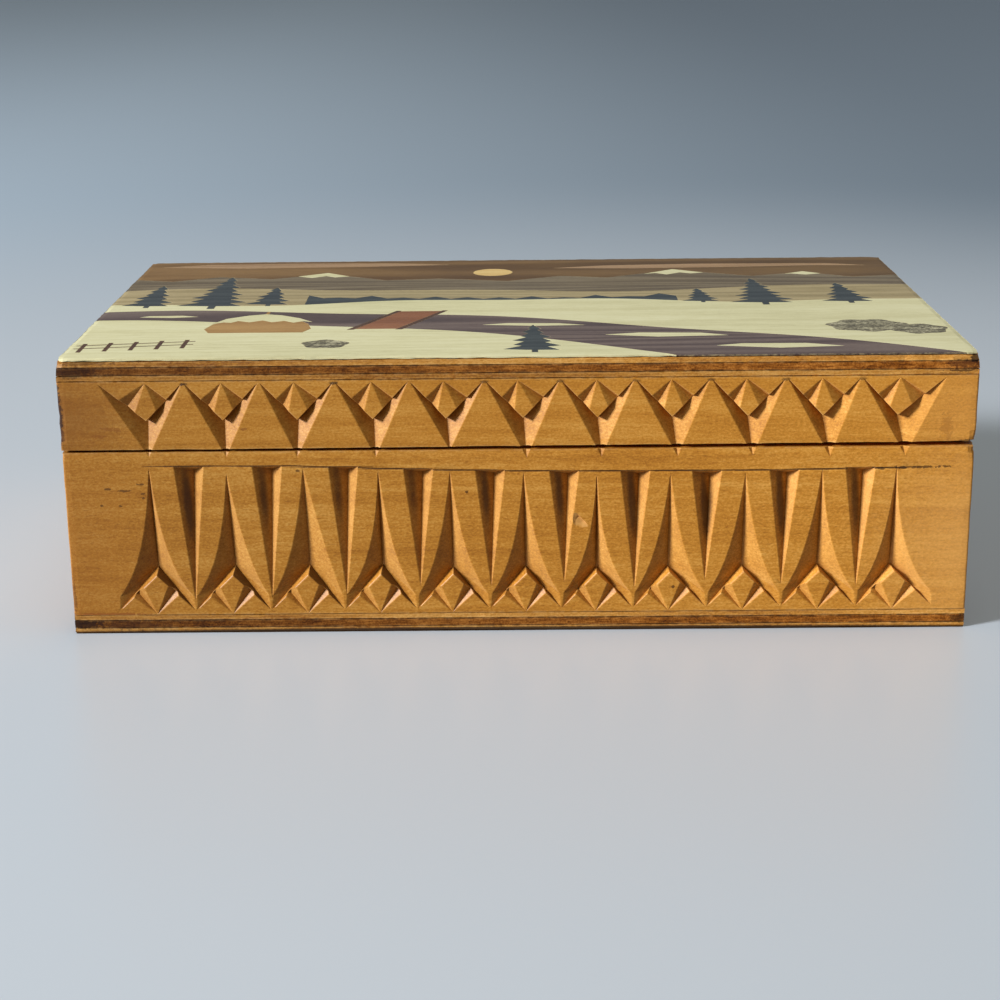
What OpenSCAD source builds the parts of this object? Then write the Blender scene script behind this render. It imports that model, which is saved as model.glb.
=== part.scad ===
// Marquetry trinket box: a chip-carved limewood body and lid on three-ply panels,
// with a picture of inlaid veneers on top and a pair of small butt hinges at the back.
// X runs left to right, Y front to back, Z up. The origin is the middle of the underside.

/* [Overall] */
// Width of the lid, left to right
lid_w = 201; // [170:1:240]
// Depth of the lid, front to back
lid_d = 124; // [100:1:160]
// Height from the table to the top of the picture
total_h = 63.3; // [60:0.1:75]
// Height from the table to the rim of the body
rim_z = 42.4; // [40:0.1:45]
// How far the lid stands proud of the body on each side
lid_reveal = 0.1; // [0:0.05:0.5]
// Width of the saw cut between lid and body at the left end
gap_left = 0.45; // [0.4:0.05:0.8]
// Width of the saw cut between lid and body at the right end
gap_right = 0.95; // [0.5:0.05:1]

/* [Boards and plies] */
// Thickness of the carved boards
board_t = 8; // [7.5:0.5:11]
// Thickness of the lip on a front or back board that covers a side board's end
lip_t = 3; // [2:0.5:4]
// Thickness of a face ply
ply_face_t = 1.3; // [1:0.05:1.6]
// Thickness of the dark core ply
ply_core_t = 1.85; // [1.4:0.05:2.4]
// Thickness of the picture's veneers
veneer_t = 0.5; // [0.4:0.05:0.8]
// How far the worn edge of the picture lies inside the edge of the lid
veneer_margin = 0.3; // [0:0.1:1]

/* [Carving] */
// Number of units in a carved row on the front
front_units = 11; // [8:1:13]
// Number of units in a carved row on a side
side_units = 6; // [4:1:7]
// Plain board left at each end of a front row
row_margin = 10; // [8:0.5:14]
// How far the front rows sit right of centre
row_shift = 1.3; // [0:0.1:2]
// How much further the two end units of the upper row reach than the others
upper_reach = 2.2; // [0:0.1:2.5]
// How much further the two end units of the lower row reach than the others
lower_reach = 0.6; // [0:0.1:2]
// Depth of the knife under the upper diamonds
chip_depth = 2.3; // [1.4:0.1:3]
// Depth of the knife under the lower diamonds and in the wedges
trunk_depth = 2.6; // [1.4:0.1:3]
// Distance from the lid panel down to the top of the upper row
upper_drop = 0.4; // [0.1:0.1:2]
// Distance from that top down to the foot of the upper diamonds
upper_notch = 8.5; // [7:0.1:10]
// Distance from that top down to the tips, which run across the saw cut
upper_tip = 17.1; // [15.5:0.1:17.5]
// Distance from the rim down to the scribed line over the lower row
lower_line_drop = 4.4; // [3:0.1:6]
// Height of the feet of the lower row above the base panel
foot_rise = 0.2; // [0.1:0.1:3]
// Height of the lower diamonds
kite_h = 9; // [8:0.1:11]
// Height of a trunk's outer corners above the feet of the row
leg_h = 0.8; // [0:0.1:1.5]
// Height of the shoulder where two trunks close up, above the feet of the row
shoulder_h = 4.2; // [2:0.1:5]
// Width of the wood left between two trunks at the shoulder
spike_w = 0.8; // [0.3:0.1:1.5]
// Height of the wedges' points above the feet of the row
wedge_tip_h = 5.2; // [4.5:0.1:8]
// Width of a wedge at its top
wedge_w = 6.6; // [5:0.1:8]
// Width of wood left between two neighbouring chips
bridge_w = 0.3; // [0.1:0.05:0.4]

/* [Hinges] */
// Length of a hinge
hinge_len = 25; // [20:0.5:30]
// Distance from the end of the box to a hinge
hinge_inset = 28; // [18:1:40]
// Wood left between a leaf and the inside of the back board
leaf_edge = 0.5; // [0.2:0.1:0.8]
// Thickness of a leaf
leaf_t = 0.8; // [0.6:0.05:1]
// Height of the box leaf over the rim
leaf_proud = 0.25; // [0.2:0.05:0.35]
// Outside diameter of the barrel
barrel_d = 3; // [2.6:0.1:3.4]
// Diameter of the pin
pin_d = 1.5; // [1.2:0.1:1.7]
// Running clearance around the pin
pin_play = 0.04; // [0.02:0.01:0.08]
// Gap between two knuckles
knuckle_gap = 0.15; // [0.1:0.05:0.3]
// How far the pin's axis lies inside the back of the body
pin_inset = 2.6; // [2.2:0.1:3]
// Angle at which the bevelled back edges meet and stop the lid
stop_angle = 104; // [95:1:110]
// Clearance between the bevels and the plane through the pin
bevel_play = 0.15; // [0.1:0.05:0.3]
// Clearance of the wood around a leaf
leaf_fit = 0.1; // [0.05:0.05:0.2]
// Clearance of the wood around a barrel
barrel_fit = 0.4; // [0.3:0.05:0.6]
// Diameter of a nail's shank
nail_d = 0.9; // [0.7:0.05:1.1]
// Diameter of a nail's head
nail_head_d = 1.8; // [1.5:0.1:2.2]
// Length of a nail
nail_len = 5; // [4:0.5:8]

/* [Hidden] */

// Heights and outlines that follow from the sizes above
body_w = lid_w - 2 * lid_reveal;
body_d = lid_d - 2 * lid_reveal;
ply_t = 2 * ply_face_t + ply_core_t;
panel_z = total_h - veneer_t - ply_t;
gap_slope = (gap_right - gap_left) / lid_w;
gap_mid = (gap_right + gap_left) / 2;
pin_y = body_d / 2 - pin_inset;
leaf_w = board_t - pin_inset - leaf_edge;
pin_z = rim_z + leaf_proud;
bevel_angle = stop_angle / 2;
nail_spread = 0.65;
hinge_x = lid_w / 2 - hinge_inset - hinge_len / 2;

// Even spacing of the carved rows, and the heights that they stand on
pitch = (lid_w - 2 * row_margin) / front_units;
side_board_d = body_d - 2 * lip_t;
side_row_ends = 0.6;
side_pitch = min(pitch, side_board_d / (side_units + side_row_ends));
upper_z = panel_z - upper_drop;
tip_z = upper_z - upper_tip;
lower_z = rim_z - lower_line_drop;
foot_z = ply_t + foot_rise;

// How far each unit, diamond, tip, line and wedge sits from its even place, as the hand cut it
hand_upper = [-0.3, 0.1, -0.1, 0, -0.4, 0, -0.2, -0.3, -0.2, -0.3, -0.4];
hand_apex = [0.1, -0.1, -0.5, -0.2, -0.5, -1.2, -0.2, -0.3, -0.5, -0.4, 0.2];
hand_tip = [0.1, 0.3, -0.3, 0.4, 0.7, 0.7, 0.9, 1.3, 1.2, 1.8, 1.9];
hand_tip_lift = [0.5, 0.3, 0.2, 0, 1.5, -0.4, -0.3, -0.4, -0.3, -0.7, -0.5];
hand_lower = [-0.2, 0.4, 0.9, 0.7, 0.5, 0.5, -0.3, -0.4, -0.3, 0.1, 0.4];
hand_line = [1, 1, 0.8, 0.1, -0.3, -0.6, -0.7, -0.9, -0.8, -0.3, -0.1];
hand_start = [0, 1.4, 0.1, 0, 0, 0, 0.5, 0.4, 0.6, 0.2, 0];
hand_wedge = [0, 0.3, 0.5, 0.8, 0.3, 0.6, 0.3, -0.4, 0, -0.1];
hand_wedge_tip = [-2.3, -1.7, -1.2, 0.9, 0.6, 1.4, -0.2, 1.7, 0.6, 0];
hand_top = [-0.2, -0.2, -0.2, 0.1, -0.3, -0.5, 0, -0.1, -0.1, -0.1, -0.5];

// How much more or less each trunk's sides curve, and how far its pit lies aside and above the
// top of the diamond under it, as the knife was held
hand_flare_left = [0, 0, 0.1, -0.1, 0.1, 0, -0.1, 0.1, 0.1, 0.1, 0];
hand_flare_right = [0, 0.2, 0.4, 0.1, 0.1, 0.1, -0.1, 0.1, 0.1, 0, -0.1];
hand_pit = [0.2, 0.5, 0.3, 0.4, 0, -0.2, 0, -0.3, -0.3, -0.2, -0.7];
hand_pit_lift = [1.6, 1.7, 1.7, 1.6, 0.9, 1, 0.6, 0.8, 0.9, 1, 0.9];

// Shares along the stab cut at which a diamond's small chips begin, are deepest and end
upper_left_share = [0.22, 0.39, 0.57];
upper_right_share = [0.27, 0.53, 0.57];
lower_left_share = [0.33, 0.52, 0.62];
lower_right_share = [0.29, 0.46, 0.57];

// Depths of those small chips, as shares of the knife's depth under the diamond
upper_left_depth = 0.5;
upper_right_depth = 0.5;
lower_left_depth = 0.46;
lower_right_depth = 0.42;

// Small strokes of the knife: the notch in a wedge's top, how far its pit lies right of its
// middle, and how far each upper pit lies from the diamond's corner, because the stab cuts lean
wedge_notch = 1.3;
wedge_lean = 0.9;
upper_lean = [0.1, -0.3];
foot_overrun = [-0.2, -0.1];

// Curve of a trunk's side, and how far the cutting shapes run past the wood
flare_steps = 8;
flare_pull = 0.2;
flare_z = 12;
chip_rise = 0.6;
chip_lap = 0.25;
cut_slack = 5;

function hand(list, i) = list[i % len(list)];
function mix(a, b, t) = a + (b - a) * t;
function area2(o, i = 0) =
    i == len(o) ? 0 :
    let (p = o[i], q = o[(i + 1) % len(o)]) p[0] * q[1] - q[0] * p[1] + area2(o, i + 1);
function facing(o) = area2(o) > 0 ? o : [for (i = [0 : len(o) - 1]) o[(len(o) - i) % len(o)]];

// Middle of each unit in a row, and the places where two units meet
function unit_xs(count, step, shift, list) =
    [for (i = [0 : count - 1]) shift + (i - (count - 1) / 2) * step + hand(list, i)];
function meet_x(xs, step, i, reach) =
    i == 0 ? xs[0] - step / 2 - reach :
    i == len(xs) ? xs[i - 1] + step / 2 + reach :
    (xs[i - 1] + xs[i]) / 2;

// Flared side of a trunk, from its top down to the shoulder where two trunks meet
function flare(top, shoulder, pull) =
    let (c = [mix(top[0], shoulder[0], flare_pull + pull), foot_z + flare_z])
    [for (s = [0 : flare_steps])
        let (t = s / flare_steps)
        (1 - t) * (1 - t) * top + 2 * t * (1 - t) * c + t * t * shoulder];

// One chip: a pit under a flat outline, below its first corner or leaning away from it
module chip(corners, depth, lean = [0, 0]) {
    o = facing(corners);
    n = len(o);
    pit = corners[0] + lean;
    points = concat(
        [for (p = o) [p[0], -chip_rise, p[1]]],
        [for (p = o) [p[0], 0, p[1]]],
        [[pit[0], depth, pit[1]]]);
    cap = [for (s = [1 : n - 2]) [0, s + 1, s]];
    sides = [for (i = [0 : n - 1]) [i, (i + 1) % n, n + (i + 1) % n, n + i]];
    facets = [for (i = [0 : n - 1]) [n + i, n + (i + 1) % n, 2 * n]];
    polyhedron(points = points, faces = concat(cap, sides, facets));
}

// A small chip from a corner of the diamond to a stretch of the stab cut beside it
module small_chip(corner, from, to, shares, depth) {
    ends = [for (s = shares) mix(from, to, s)];
    push = (ends[1] - corner) / norm(ends[1] - corner) * chip_lap;
    chip([ends[1] + push, ends[2] + push, corner, ends[0] + push], depth);
}

// Upper row: a pointed chip under each diamond, and two small chips that shape the diamond
function upper_left(xs, step, i) = [meet_x(xs, step, i, upper_reach) + bridge_w / 2, upper_z];
function upper_right(xs, step, i) = [meet_x(xs, step, i + 1, upper_reach) - bridge_w / 2, upper_z];

module upper_tips(xs, step) {
    for (i = [0 : len(xs) - 1]) {
        stab = [xs[i], upper_z - upper_notch];
        tip = [xs[i] + hand(hand_tip, i), tip_z + hand(hand_tip_lift, i)];
        chip([stab, upper_right(xs, step, i), tip, upper_left(xs, step, i)], chip_depth, upper_lean);
    }
}

module upper_diamonds(xs, step) {
    for (i = [0 : len(xs) - 1]) {
        apex = [xs[i] + hand(hand_apex, i), upper_z];
        stab = [xs[i], upper_z - upper_notch];
        small_chip(apex, stab, upper_left(xs, step, i), upper_left_share, chip_depth * upper_left_depth);
        small_chip(apex, stab, upper_right(xs, step, i), upper_right_share, chip_depth * upper_right_depth);
    }
}

// Lower row: a flared trunk over each diamond, small chips beside it, and wedges between
module trunks(xs, step) {
    for (i = [0 : len(xs) - 1]) {
        left_x = meet_x(xs, step, i, lower_reach) + bridge_w / 2;
        right_x = meet_x(xs, step, i + 1, lower_reach) - bridge_w / 2;
        kite = [xs[i], foot_z + kite_h];
        left_leg = [left_x, foot_z + leg_h];
        right_leg = [right_x, foot_z + leg_h];
        top = [xs[i] + hand(hand_top, i), lower_z + hand(hand_line, i) - hand(hand_start, i)];
        left_end = [left_x + (spike_w - bridge_w) / 2, foot_z + shoulder_h];
        right_end = [right_x - (spike_w - bridge_w) / 2, foot_z + shoulder_h];
        left_side = flare(top, left_end, hand(hand_flare_left, i));
        right_side = flare(top, right_end, hand(hand_flare_right, i));
        chip(concat(
            [kite, right_leg],
            [for (s = [flare_steps : -1 : 0]) right_side[s]],
            [for (s = [1 : flare_steps]) left_side[s]],
            [left_leg]), trunk_depth, [hand(hand_pit, i), hand(hand_pit_lift, i)]);
        foot = [xs[i], foot_z] + foot_overrun;
        small_chip(foot, kite, left_leg, lower_left_share, trunk_depth * lower_left_depth);
        small_chip(foot, kite, right_leg, lower_right_share, trunk_depth * lower_right_depth);
    }
}

module wedges(xs, step) {
    for (i = [1 : len(xs) - 1]) {
        x = meet_x(xs, step, i, lower_reach) + hand(hand_wedge, i - 1);
        z = lower_z + hand(hand_line, i - 1);
        half = wedge_w / 2;
        tip = [x, foot_z + wedge_tip_h + hand(hand_wedge_tip, i - 1)];
        chip([[x, z], [x + half, z], tip, [x - half, z]], trunk_depth, [wedge_lean, -wedge_notch]);
    }
}

module upper_row(count, step, shift, whole) {
    xs = unit_xs(count, step, shift, hand_upper);
    upper_tips(xs, step);
    if (whole) upper_diamonds(xs, step);
}

module lower_row(count, step, shift) {
    xs = unit_xs(count, step, shift, hand_lower);
    trunks(xs, step);
    wedges(xs, step);
}

// Carving on one outer face: the front, or a side turned by the given angle
module on_front(d) { translate([0, -d / 2, 0]) children(); }
module on_side(w, turn) { rotate([0, 0, turn]) translate([0, -w / 2, 0]) children(); }

// Space between lid and body, a little wider at the right than at the left
module saw_cut() {
    low = pin_z - cut_slack;
    rotate([90, 0, 0]) linear_extrude(lid_d + 2 * cut_slack, center = true) polygon([
        [-lid_w, low], [lid_w, low],
        [lid_w, rim_z + gap_mid + gap_slope * lid_w],
        [-lid_w, rim_z + gap_mid - gap_slope * lid_w]]);
}

// Bevels along the back edges, mirrored about the pin's axis
module back_bevel(up) {
    reach = pin_inset + cut_slack;
    start = bevel_play / cos(bevel_angle);
    translate([0, pin_y, pin_z]) mirror([0, 0, up ? 1 : 0])
        rotate([90, 0, 90]) linear_extrude(lid_w + 2 * cut_slack, center = true) polygon([
            [0, -start], [reach, -start - reach * tan(bevel_angle)],
            [reach, cut_slack], [0, cut_slack]]);
}

// Room in the wood for the leaves, barrels and nails of both hinges
module leaf_room(up) {
    for (x = [-hinge_x, hinge_x])
        translate([x, pin_y, pin_z]) {
            low = up ? -cut_slack : -leaf_t;
            translate([-hinge_len / 2 - leaf_fit, -leaf_w - leaf_fit, low])
                cube([hinge_len + 2 * leaf_fit, leaf_w + pin_inset, leaf_t + cut_slack]);
            rotate([0, 90, 0]) cylinder(
                d = barrel_d + 2 * barrel_fit, h = hinge_len + 2 * barrel_fit, center = true, $fn = 48);
        }
}

module nail_room(up) {
    at_nails(up) translate([0, 0, -nail_len]) cylinder(d = nail_d, h = nail_len, $fn = 24);
}

// Places of the nails: two in each leaf, driven away from the pin's plane
module at_nails(up) {
    y = -(barrel_d / 2 + barrel_fit + leaf_w) / 2;
    for (x = [-hinge_x, hinge_x], side = [-1, 1])
        translate([x + side * nail_spread * hinge_len / 2, pin_y + y, pin_z])
            mirror([0, 0, up ? 1 : 0]) children();
}

module nail() {
    shoulder = (nail_head_d - nail_d) / 2;
    translate([0, 0, -shoulder]) cylinder(d1 = nail_d, d2 = nail_head_d, h = shoulder, $fn = 24);
    translate([0, 0, -nail_len]) cylinder(d = nail_d, h = nail_len - shoulder, $fn = 24);
}

// Boards
module end_rebates(w, d, z, h, back) {
    y = back ? d / 2 - board_t - cut_slack : -d / 2 + lip_t;
    for (x = [-w / 2 - cut_slack, w / 2 - board_t])
        translate([x, y, z - cut_slack])
            cube([board_t + cut_slack, board_t - lip_t + cut_slack, h + 2 * cut_slack]);
}

module long_board(w, d, z, h, back) {
    difference() {
        translate([-w / 2, back ? d / 2 - board_t : -d / 2, z]) cube([w, board_t, h]);
        end_rebates(w, d, z, h, back);
    }
}

module side_board(w, d, z, h, right) {
    translate([right ? w / 2 - board_t : -w / 2, -d / 2 + lip_t, z]) cube([board_t, d - 2 * lip_t, h]);
}

module plate(w, d, z, h) { translate([-w / 2, -d / 2, z]) cube([w, d, h]); }

module base_outer_ply() { color("burlywood") plate(body_w, body_d, 0, ply_face_t); }
module base_core_ply() { color("saddlebrown") plate(body_w, body_d, ply_face_t, ply_core_t); }
module base_inner_ply() { color("burlywood") plate(body_w, body_d, ply_t - ply_face_t, ply_face_t); }

module box_front_wall() {
    color("peru") difference() {
        long_board(body_w, body_d, ply_t, rim_z - ply_t, false);
        on_front(body_d) {
            upper_row(front_units, pitch, row_shift, false);
            lower_row(front_units, pitch, row_shift);
        }
    }
}

module box_back_wall() {
    color("peru") difference() {
        long_board(body_w, body_d, ply_t, rim_z - ply_t, true);
        back_bevel(false);
        leaf_room(false);
        nail_room(false);
    }
}

module box_side_wall(right) {
    difference() {
        side_board(body_w, body_d, ply_t, rim_z - ply_t, right);
        back_bevel(false);
        on_side(body_w, right ? 90 : -90) {
            upper_row(side_units, side_pitch, 0, false);
            lower_row(side_units, side_pitch, 0);
        }
    }
}

module box_left_wall() { color("peru") box_side_wall(false); }
module box_right_wall() { color("peru") box_side_wall(true); }

module lid_front_rail() {
    color("peru") difference() {
        long_board(lid_w, lid_d, rim_z, panel_z - rim_z, false);
        saw_cut();
        on_front(lid_d) upper_row(front_units, pitch, row_shift, true);
    }
}

module lid_back_rail() {
    color("peru") difference() {
        long_board(lid_w, lid_d, rim_z, panel_z - rim_z, true);
        saw_cut();
        back_bevel(true);
        leaf_room(true);
        nail_room(true);
    }
}

module lid_side_rail(right) {
    difference() {
        side_board(lid_w, lid_d, rim_z, panel_z - rim_z, right);
        saw_cut();
        back_bevel(true);
        on_side(lid_w, right ? 90 : -90) upper_row(side_units, side_pitch, 0, true);
    }
}

module lid_left_rail() { color("peru") lid_side_rail(false); }
module lid_right_rail() { color("peru") lid_side_rail(true); }
module lid_back_ply() { color("burlywood") plate(lid_w, lid_d, panel_z, ply_face_t); }
module lid_core_ply() { color("saddlebrown") plate(lid_w, lid_d, panel_z + ply_face_t, ply_core_t); }
module lid_face_ply() { color("burlywood") plate(lid_w, lid_d, panel_z + ply_t - ply_face_t, ply_face_t); }

// Hinges: the box leaf has the two outer knuckles, and the lid leaf the middle one
knuckles = 3;
knuckle_len = (hinge_len - (knuckles - 1) * knuckle_gap) / knuckles;

module knuckle(x, len) {
    translate([x, 0, 0]) rotate([0, 90, 0]) cylinder(d = barrel_d, h = len, center = true, $fn = 48);
}

module pin_bore() {
    rotate([0, 90, 0])
        cylinder(d = pin_d + 2 * pin_play, h = hinge_len + cut_slack, center = true, $fn = 48);
}

// Plate of a leaf, cut away where the other leaf's knuckles turn
module leaf_plate(up) {
    root_y = -(pin_d + barrel_d) / 4;
    room_y = barrel_d / 2 + barrel_fit;
    room = up ? hinge_len - knuckle_len : knuckle_len + 2 * knuckle_gap;
    places = up ? [-hinge_len / 2, hinge_len / 2] : [0];
    translate([0, 0, up ? 0 : -leaf_t]) linear_extrude(leaf_t) difference() {
        translate([-hinge_len / 2, -leaf_w]) square([hinge_len, leaf_w + root_y]);
        for (x = places) translate([x - room / 2, -room_y]) square([room, room_y]);
    }
}

module box_leaf(x) {
    difference() {
        translate([x, pin_y, pin_z]) difference() {
            union() {
                leaf_plate(false);
                for (side = [-1, 1]) knuckle(side * (hinge_len - knuckle_len) / 2, knuckle_len);
            }
            pin_bore();
        }
        at_nails(false) nail();
    }
}

module lid_leaf(x) {
    difference() {
        translate([x, pin_y, pin_z]) difference() {
            union() {
                leaf_plate(true);
                knuckle(0, knuckle_len);
            }
            pin_bore();
        }
        at_nails(true) nail();
    }
}

module hinge_pin(x) {
    translate([x, pin_y, pin_z])
        rotate([0, 90, 0])
            cylinder(d = pin_d, h = hinge_len, center = true, $fn = 48);
}

module left_hinge_box_leaf() { color("goldenrod") box_leaf(-hinge_x); }
module left_hinge_lid_leaf() { color("goldenrod") lid_leaf(-hinge_x); }
module left_hinge_pin() { color("gray") hinge_pin(-hinge_x); }
module right_hinge_box_leaf() { color("goldenrod") box_leaf(hinge_x); }
module right_hinge_lid_leaf() { color("goldenrod") lid_leaf(hinge_x); }
module right_hinge_pin() { color("gray") hinge_pin(hinge_x); }
module box_hinge_nails() { color("darkgoldenrod") at_nails(false) nail(); }
module lid_hinge_nails() { color("darkgoldenrod") at_nails(true) nail(); }

// Picture: places are percent of its width and depth, from its front left corner
picture_w = lid_w - 2 * veneer_margin;
picture_d = lid_d - 2 * veneer_margin;
line_step = 2;
SKY = 0;
CLOUD = 1;
SUN = 2;
MOUNTAIN = 3;
MOUNTAIN_SNOW = 4;
HILL = 5;
FAR_FOREST = 6;
FAR_SNOW = 7;
RIVER = 8;
ICE = 9;
NEAR_SNOW = 10;
LEFT_FIRS = 11;
RIGHT_FIRS = 12;
FRONT_FIR = 13;
HAYSTACK = 14;
HAYSTACK_SNOW = 15;
BRIDGE_DECK = 16;
BRIDGE_RAILS = 17;
FENCE = 18;
BUSHES = 19;

function spot(p) = [(p[0] / 100 - 0.5) * picture_w, (p[1] / 100 - 0.5) * picture_d];

// Ground lines, as heights in percent over the width
function hill_line(x) = 64 + 2.6 * sin(x * 4.1 + 30) + 1.2 * sin(x * 9.7);
function forest_line(x) = 55 + 1.4 * sin(x * 5.3) + (x % (2 * line_step) == 0 ? 1.8 + 1.2 * sin(x * 49) : 0);
function snow_line(x) = 51 + 2.2 * sin(x * 5.1 + 200) + 0.9 * sin(x * 13);
function far_bank(x) = 43 - 0.0052 * pow(max(0, x - 8), 2) + 1.1 * sin(x * 9.3);
function near_bank(x) = 33.5 - 0.0078 * pow(max(0, x - 3), 2) + 1.3 * sin(x * 8.1 + 70);

module piece(outline) { polygon([for (p = outline) spot(p)]); }

// Everything in front of a ground line, over a stretch of the width
module ground(line, from = 0, to = 100) {
    piece(concat([[to, -1], [from, -1]], line));
}

// A round or lobed patch
module patch(at, rx, ry, lobes = 0, bump = 0) {
    turns = 40;
    piece([for (i = [0 : turns - 1])
        let (a = i * 360 / turns, r = 1 + bump * sin(a * lobes))
        [at[0] + rx * r * cos(a), at[1] + ry * r * sin(a)]]);
}

// A fir of several tiers with its trunk, in shares of its width, its height or a tier: every
// other bough is shorter, and the boughs on the left sit a little higher
fir_trunk = [0.05, 0.08];
fir_waist = [0.5, 0.75];
fir_top = 0.55;
fir_short = 0.8;
fir_lift = 0.2;

function boughs(side, w, base, tier_h, tiers) = [for (t = [0 : tiers - 1]) each [
    [side * w / 2 * (1 - t / (tiers + fir_top)) * ((t + (side + 1) / 2) % 2 == 0 ? 1 : fir_short),
        base + tier_h * t],
    [side * w / 2 * fir_waist[0] * (1 - (t + 1) / (tiers + fir_top)), base + tier_h * (t + fir_waist[1])]]];

module fir(at, w, h, tiers) {
    trunk_w = w * fir_trunk[0];
    trunk_h = h * fir_trunk[1];
    tier_h = (h - trunk_h) / tiers;
    right_side = boughs(1, w, trunk_h, tier_h, tiers);
    left_side = boughs(-1, w, trunk_h + fir_lift * tier_h, tier_h, tiers);
    left_down = [for (i = [len(left_side) - 1 : -1 : 0]) left_side[i]];
    piece([for (p = concat([[trunk_w, 0], [trunk_w, trunk_h]], right_side, [[0, h]], left_down,
        [[-trunk_w, trunk_h], [-trunk_w, 0]])) at + p]);
}

// A straight bar between two spots, of a width in millimetres
module bar(from, to, w) {
    a = spot(from);
    b = spot(to);
    side = [a[1] - b[1], b[0] - a[0]] / norm(b - a) * w / 2;
    polygon([a + side, a - side, b - side, b + side]);
}

module bridge_side(shift) {
    piece([[30.4 + shift, 24], [31.2 + shift, 24], [36.2 + shift, 42], [35.6 + shift, 42]]);
}

module area(k) {
    if (k == SKY) piece([[0, 60], [100, 60], [100, 100], [0, 100]]);
    if (k == CLOUD) {
        piece([[2, 93.5], [14, 91.5], [30, 92.4], [41, 94], [33, 96.6], [20, 97.4], [8, 96.6]]);
        piece([
            [55, 88.6], [66, 87.4], [79, 88.2], [90, 89.6], [97, 89], [92, 91.8], [74, 92.6], [62, 91.4]]);
    }
    if (k == SUN) patch([47, 84], 2.6, 4.2);
    if (k == MOUNTAIN) piece([
        [0, 50], [100, 50], [100, 77], [94, 75], [88, 81], [81, 77], [71, 85], [62, 76.5],
        [56, 79], [49, 73.5], [40, 77], [33, 75.5], [25, 84], [18, 78], [11, 81], [5, 76], [0, 78.5]]);
    if (k == MOUNTAIN_SNOW) {
        piece([[71, 86], [74.9, 81.6], [73.2, 80.6], [71.8, 82], [70, 79.6], [68.6, 81.4], [66.9, 80.5]]);
        piece([[25, 85], [28, 80.6], [26.2, 79.6], [25, 81.2], [23.2, 79.2], [21.2, 81]]);
        piece([[88, 82], [90.2, 79.3], [88.2, 78], [86.4, 79.4], [85.4, 79.2]]);
    }
    if (k == HILL) ground([for (x = [0 : line_step : 100]) [x, hill_line(x)]]);
    if (k == FAR_FOREST) ground([for (x = [24 : line_step : 70]) [x, forest_line(x)]], 24, 70);
    if (k == FAR_SNOW) ground([for (x = [0 : line_step : 100]) [x, snow_line(x)]]);
    if (k == RIVER) ground([for (x = [0 : line_step : 100]) [x, far_bank(x)]]);
    if (k == ICE) {
        piece([[5, 37.6], [9, 36.8], [12, 37.6], [10, 38.9], [6, 38.7]]);
        piece([[46, 27.6], [52, 26.2], [58, 26.6], [55, 28.4], [49, 28.9]]);
        piece([[60, 17.6], [66, 15.4], [74, 16.2], [71, 18.6], [64, 19.2]]);
        piece([[72, 7.4], [79, 5], [86, 6.2], [82, 8.8], [75, 9]]);
    }
    if (k == NEAR_SNOW) ground([for (x = [0 : line_step : 70]) [x, near_bank(x)]], 0, 70);
    if (k == LEFT_FIRS) {
        fir([4.6, 47], 6.6, 24, 6);
        fir([12.7, 45.5], 9, 35, 8);
        fir([19.5, 48], 6, 20, 5);
    }
    if (k == RIGHT_FIRS) {
        fir([73, 48], 5.2, 15, 5);
        fir([80.5, 45], 8.6, 29, 8);
        fir([91, 46], 7, 22, 6);
    }
    if (k == FRONT_FIR) fir([52, 3], 7, 24, 6);
    if (k == HAYSTACK) {
        piece([
            [14.6, 22], [25.4, 22], [26.2, 25.5], [25.6, 30], [24, 34.4], [21.6, 37.6], [20, 38.4],
            [18.4, 37.6], [16, 34.4], [14.4, 30], [13.8, 25.5]]);
        bar([20, 37], [20.2, 42], 0.8);
    }
    if (k == HAYSTACK_SNOW) piece([
        [20, 39.6], [22, 38.4], [24.3, 35.4], [26, 31.6], [24.9, 32.6], [23.8, 31.2], [22.6, 33],
        [21.2, 31.8], [20, 33.6], [18.6, 31.9], [17.2, 33.2], [16.4, 31.6], [15.6, 32], [14.3, 30.6],
        [15.6, 35.4], [18, 38.4]]);
    if (k == BRIDGE_DECK) piece([[31, 24.6], [36.4, 24.6], [41.2, 41.4], [36, 41.4]]);
    if (k == BRIDGE_RAILS) {
        bridge_side(0);
        bridge_side(5.6);
    }
    if (k == FENCE) {
        for (i = [0 : 4]) bar([1.6 + i * 2.8, 6 + i * 0.7], [1.6 + i * 2.8, 13.4 + i * 0.7], 1);
        bar([0.8, 9], [13.8, 12.2], 0.7);
        bar([0.8, 11.6], [13.8, 14.8], 0.7);
    }
    if (k == BUSHES) {
        patch([90.5, 24], 4.6, 5.6, 7, 0.07);
        patch([96, 20.5], 3.2, 4.4, 6, 0.08);
        patch([28.6, 11.5], 2.6, 3.6, 5, 0.08);
    }
}

// A veneer is its own area less all that lies in front of it
module veneer(k) {
    translate([0, 0, total_h - veneer_t]) linear_extrude(veneer_t) difference() {
        intersection() {
            square([picture_w, picture_d], center = true);
            area(k);
        }
        for (j = [k + 1 : BUSHES + 1]) area(j);
    }
}

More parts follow.
